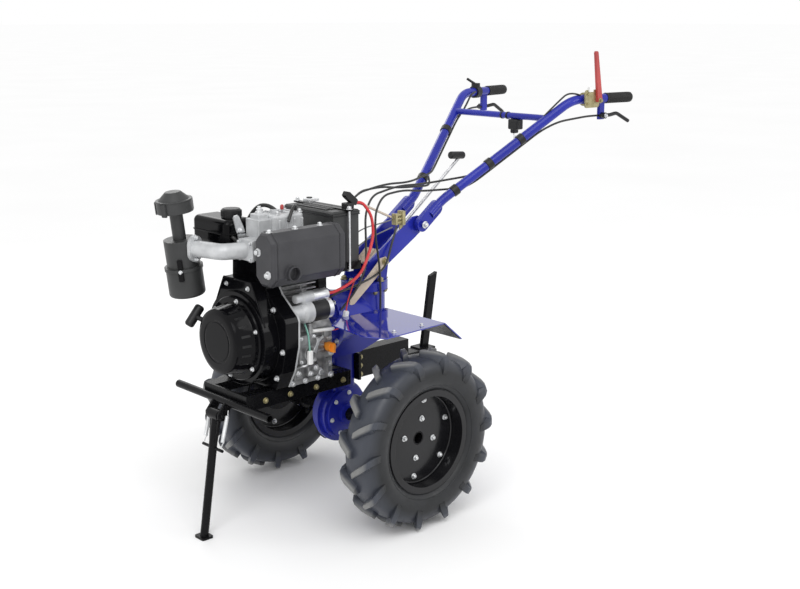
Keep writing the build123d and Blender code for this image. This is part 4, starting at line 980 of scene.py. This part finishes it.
def stand():
    """Coil springs with their hooks, across the stand's hinge."""
    lowest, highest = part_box("stand_springs")
    for sign, side in both_sides:
        y = mid_y + sign * ((highest.y - lowest.y) / 2 - 0.0055)
        top = Vector((lowest.x + 0.006, y, highest.z - 0.002))
        bottom = Vector((highest.x - 0.006, y, lowest.z + 0.004))
        run = bottom - top
        across = run.normalized().cross(left).normalized()
        points = [top, top + run * 0.08]
        for step in range(spring_turns * spring_steps + 1):
            share = step / (spring_turns * spring_steps)
            a = 2 * math.pi * share * spring_turns
            along = top + run * (coil_start + share * (coil_end - coil_start))
            out = left * (spring_radius * math.cos(a)) + across * (spring_radius * math.sin(a))
            points.append(along + out)
        points += [top + run * 0.92, bottom]
        spring = tube(f"stand_spring_{side}", points, spring_wire, plated_zinc, body=None)
        if side == "left":
            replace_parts(spring, "stand_springs")
        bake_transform(spring)


# Handlebar

def arm_place(share, sign):
    """A point on an arm's straight run, and the run's course."""
    knee = Vector((arm_knee.x, mid_y + sign * arm_knee.y, arm_knee.z))
    corner = Vector((arm_corner.x, mid_y + sign * arm_corner.y, arm_corner.z))
    return knee + (corner - knee) * share, (corner - knee).normalized()


def ties():
    """Black straps that hold the cables to the arms, and those of the switch."""
    rows = [(-0.01, 0.0148), (-0.009, 0.0162), (0.009, 0.0162), (0.01, 0.0148)]
    for sign, side, shares in ((1, "left", (0.1, 0.36, 0.6)), (-1, "right", (0.16, 0.62))):
        for number, share in enumerate(shares):
            place, course = arm_place(share, sign)
            lathe(f"arm_tie_{side}_{number}", rows, place, course, plastic_black, "handlebar", 32)
    bar = middle("crossbar")
    rows = [(-0.003, 0.01), (-0.0025, 0.0112), (0.0025, 0.0112), (0.003, 0.01)]
    for number, y in enumerate((0.012, 0.034)):
        place = Vector((bar.x, mid_y + y, bar.z))
        lathe(f"switch_tie_{number}", rows, place, left, plastic_black, "handlebar", 28)


def switch():
    """The stop switch: a shaped box with its lead."""
    lowest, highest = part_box("stop_switch")
    size = highest - lowest
    box = [((0, 0, size.z * 0.28), size), ((0.003, 0.006, 0), (size.x - 0.004, size.y * 0.62, size.z * 0.4))]
    made = blocks("switch_box", lowest, box, 0.004, plastic_black, "handlebar")
    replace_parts(made, "stop_switch")
    start = lowest + Vector((size.x * 0.5, size.y * 0.34, 0.002))
    end = arm_place(0.62, 1)[0]
    wire = shifted(start, [(0, 0, 0), (0.002, 0.006, -0.034)])
    wire += shifted(end, [(0.004, -0.034, 0.01), (0, -0.015, 0)])
    tube("switch_lead", wire, 0.0018, plastic_white, "handlebar")


def grips():
    """Ribbed rubber grips with a collar and a rounded end."""
    lowest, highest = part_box("grips")
    rows = [(0, 0.0138), (0.0004, 0.0158), (0.005, grip_radius), (0.007, 0.015)]
    for rib in range(grip_ribs):
        along = 0.0095 + rib * rib_pitch
        rows += [(along, 0.0146), (along + 0.0012, 0.0157)]
        rows += [(along + 0.0036, 0.0157), (along + 0.0048, 0.0146)]
    rows += [(grip_length - 0.012, 0.0156), (grip_length - 0.004, 0.0152), (grip_length - 0.001, 0.013),
             (grip_length, 0.009), (grip_length, 0.002)]
    for sign, side in both_sides:
        course = Vector((grip_run.x, sign * grip_run.y, 0)).normalized()
        edge = highest.y if sign > 0 else lowest.y
        end = Vector((lowest.x + grip_radius * abs(course.y), edge - sign * grip_radius * abs(course.x),
                      (lowest.z + highest.z) / 2))
        made = lathe(f"grip_{side}", rows, end - course * grip_length, course, rubber_grip, "handlebar", 48)
        if side == "left":
            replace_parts(made, "grips")


def levers():
    """Pivot screws of the levers, and the clutch lever's catch and cable."""
    plate_low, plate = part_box("clutch_clamp")
    lever_low, lever_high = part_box("clutch_lever")
    place = (lever_low.x + 0.012, lever_high.y, plate.z - 0.032)
    bolts("clutch_pivot", [place], left, small_bolt, plated_yellow, "handlebar")
    places = [(plate.x - 0.01, plate.y, z) for z in (plate.z - 0.012, plate_low.z + 0.012)]
    bolts("clutch_plate_screws", places, left, screw, plated_yellow, "handlebar")
    catch = [((-0.03, -0.004, -0.006), (-0.012, 0.006, 0.01))]
    blocks("clutch_catch", plate, catch, 0.002, plastic_white, "handlebar")
    line = [Vector((plate.x - 0.004, (plate_low.y + plate.y) / 2, plate.z - 0.016))]
    for share, rise in ((0.98, 0.03), (0.89, 0.026), (0.78, 0.0155)):
        line.append(arm_place(share, 1)[0] + up * rise)
    tube("clutch_cable", line, 0.0026, jacket_black, "handlebar")
    strut_low, strut_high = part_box("lever_brackets")
    for sign, side in both_sides:
        y = strut_high.y + 0.014 if sign > 0 else strut_low.y - 0.014
        place = ((strut_low.x + strut_high.x) / 2, y, strut_low.z + 0.012)
        bolts(f"brake_pivot_{side}", [place], left * sign, tiny_bolt, body="handlebar")


def cables():
    """The control cables, a copy of the CAD mesh on no body, in place of the CAD ones."""
    mesh = frame["nodes"]["control_cables"].data.copy()
    mesh.materials.clear()
    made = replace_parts(piece("control_cable_set", mesh, jacket_black, body=None), "control_cables")
    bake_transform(made)


# Stage

def aim(data, place, target):
    """A lamp or camera at a place, turned to a target."""
    obj = bpy.data.objects.new(data.name, data)
    obj.location = place
    obj.rotation_mode = "QUATERNION"
    obj.rotation_quaternion = (Vector(target) - Vector(place)).to_track_quat("-Z", "Y")
    bpy.context.scene.collection.objects.link(obj)
    return obj


def lay_floor():
    """A pale floor that runs out to the horizon."""
    shape = bmesh.new()
    bmesh.ops.create_grid(shape, x_segments=2, y_segments=2, size=floor_half)
    mesh = bpy.data.meshes.new("floor")
    shape.to_mesh(mesh)
    shape.free()
    floor = bpy.data.objects.new("floor", mesh)
    bpy.context.scene.collection.objects.link(floor)
    made, tree, shader = nodes_of("floor_white")
    tree.links.new(colours(tree, noise(tree, 0.8), floor_dark, floor_light), shader.inputs["Base Color"])
    shader.inputs["Roughness"].default_value = 0.95
    shader.inputs["Specular IOR Level"].default_value = 0.0
    mesh.materials.append(made)


def light_world():
    """A white world that is seen at full strength and lights the machine at a lower one."""
    world = bpy.data.worlds.new("studio")
    world.use_nodes = True
    bpy.context.scene.world = world
    tree = world.node_tree
    background = tree.nodes["Background"]
    background.inputs["Color"].default_value = (1, 1, 1, 1)
    path = add_node(tree, "ShaderNodeLightPath")
    seen = path.outputs["Is Camera Ray"]
    for ray in ("Is Glossy Ray", "Is Transmission Ray"):
        links = {0: seen, 1: path.outputs[ray]}
        seen = add_node(tree, "ShaderNodeMath", links=links, operation="MAXIMUM").outputs["Value"]
    level = add_node(tree, "ShaderNodeMapRange", {"To Min": world_light, "To Max": 1.0}, {"Value": seen})
    tree.links.new(level.outputs["Result"], background.inputs["Strength"])


def studio():
    """The floor, soft lights and the camera."""
    lay_floor()
    sun = bpy.data.lights.new("sun", "SUN")
    sun.energy = sun_strength
    sun.angle = sun_softness
    aim(sun, sun_place, lamp_target)
    for name, place, size, watts in softboxes:
        lamp = bpy.data.lights.new(name, "AREA")
        lamp.energy = watts
        lamp.size = size
        aim(lamp, place, lamp_target)
    light_world()
    lens = bpy.data.cameras.new("camera")
    lens.lens = camera_lens
    lens.sensor_width = camera_sensor
    bpy.context.scene.camera = aim(lens, camera_place, camera_target)
    bpy.context.scene.view_settings.view_transform = "Standard"


finish_nodes()
studio()
cables()
for sign, side in both_sides:
    wheel(side, sign)
for build in (recoil, shroud, muffler, starter, crankcase, head, tank, air_filter, battery, wiring, gearbox,
              bracket, guards, stand, ties, switch, grips, levers):
    build()
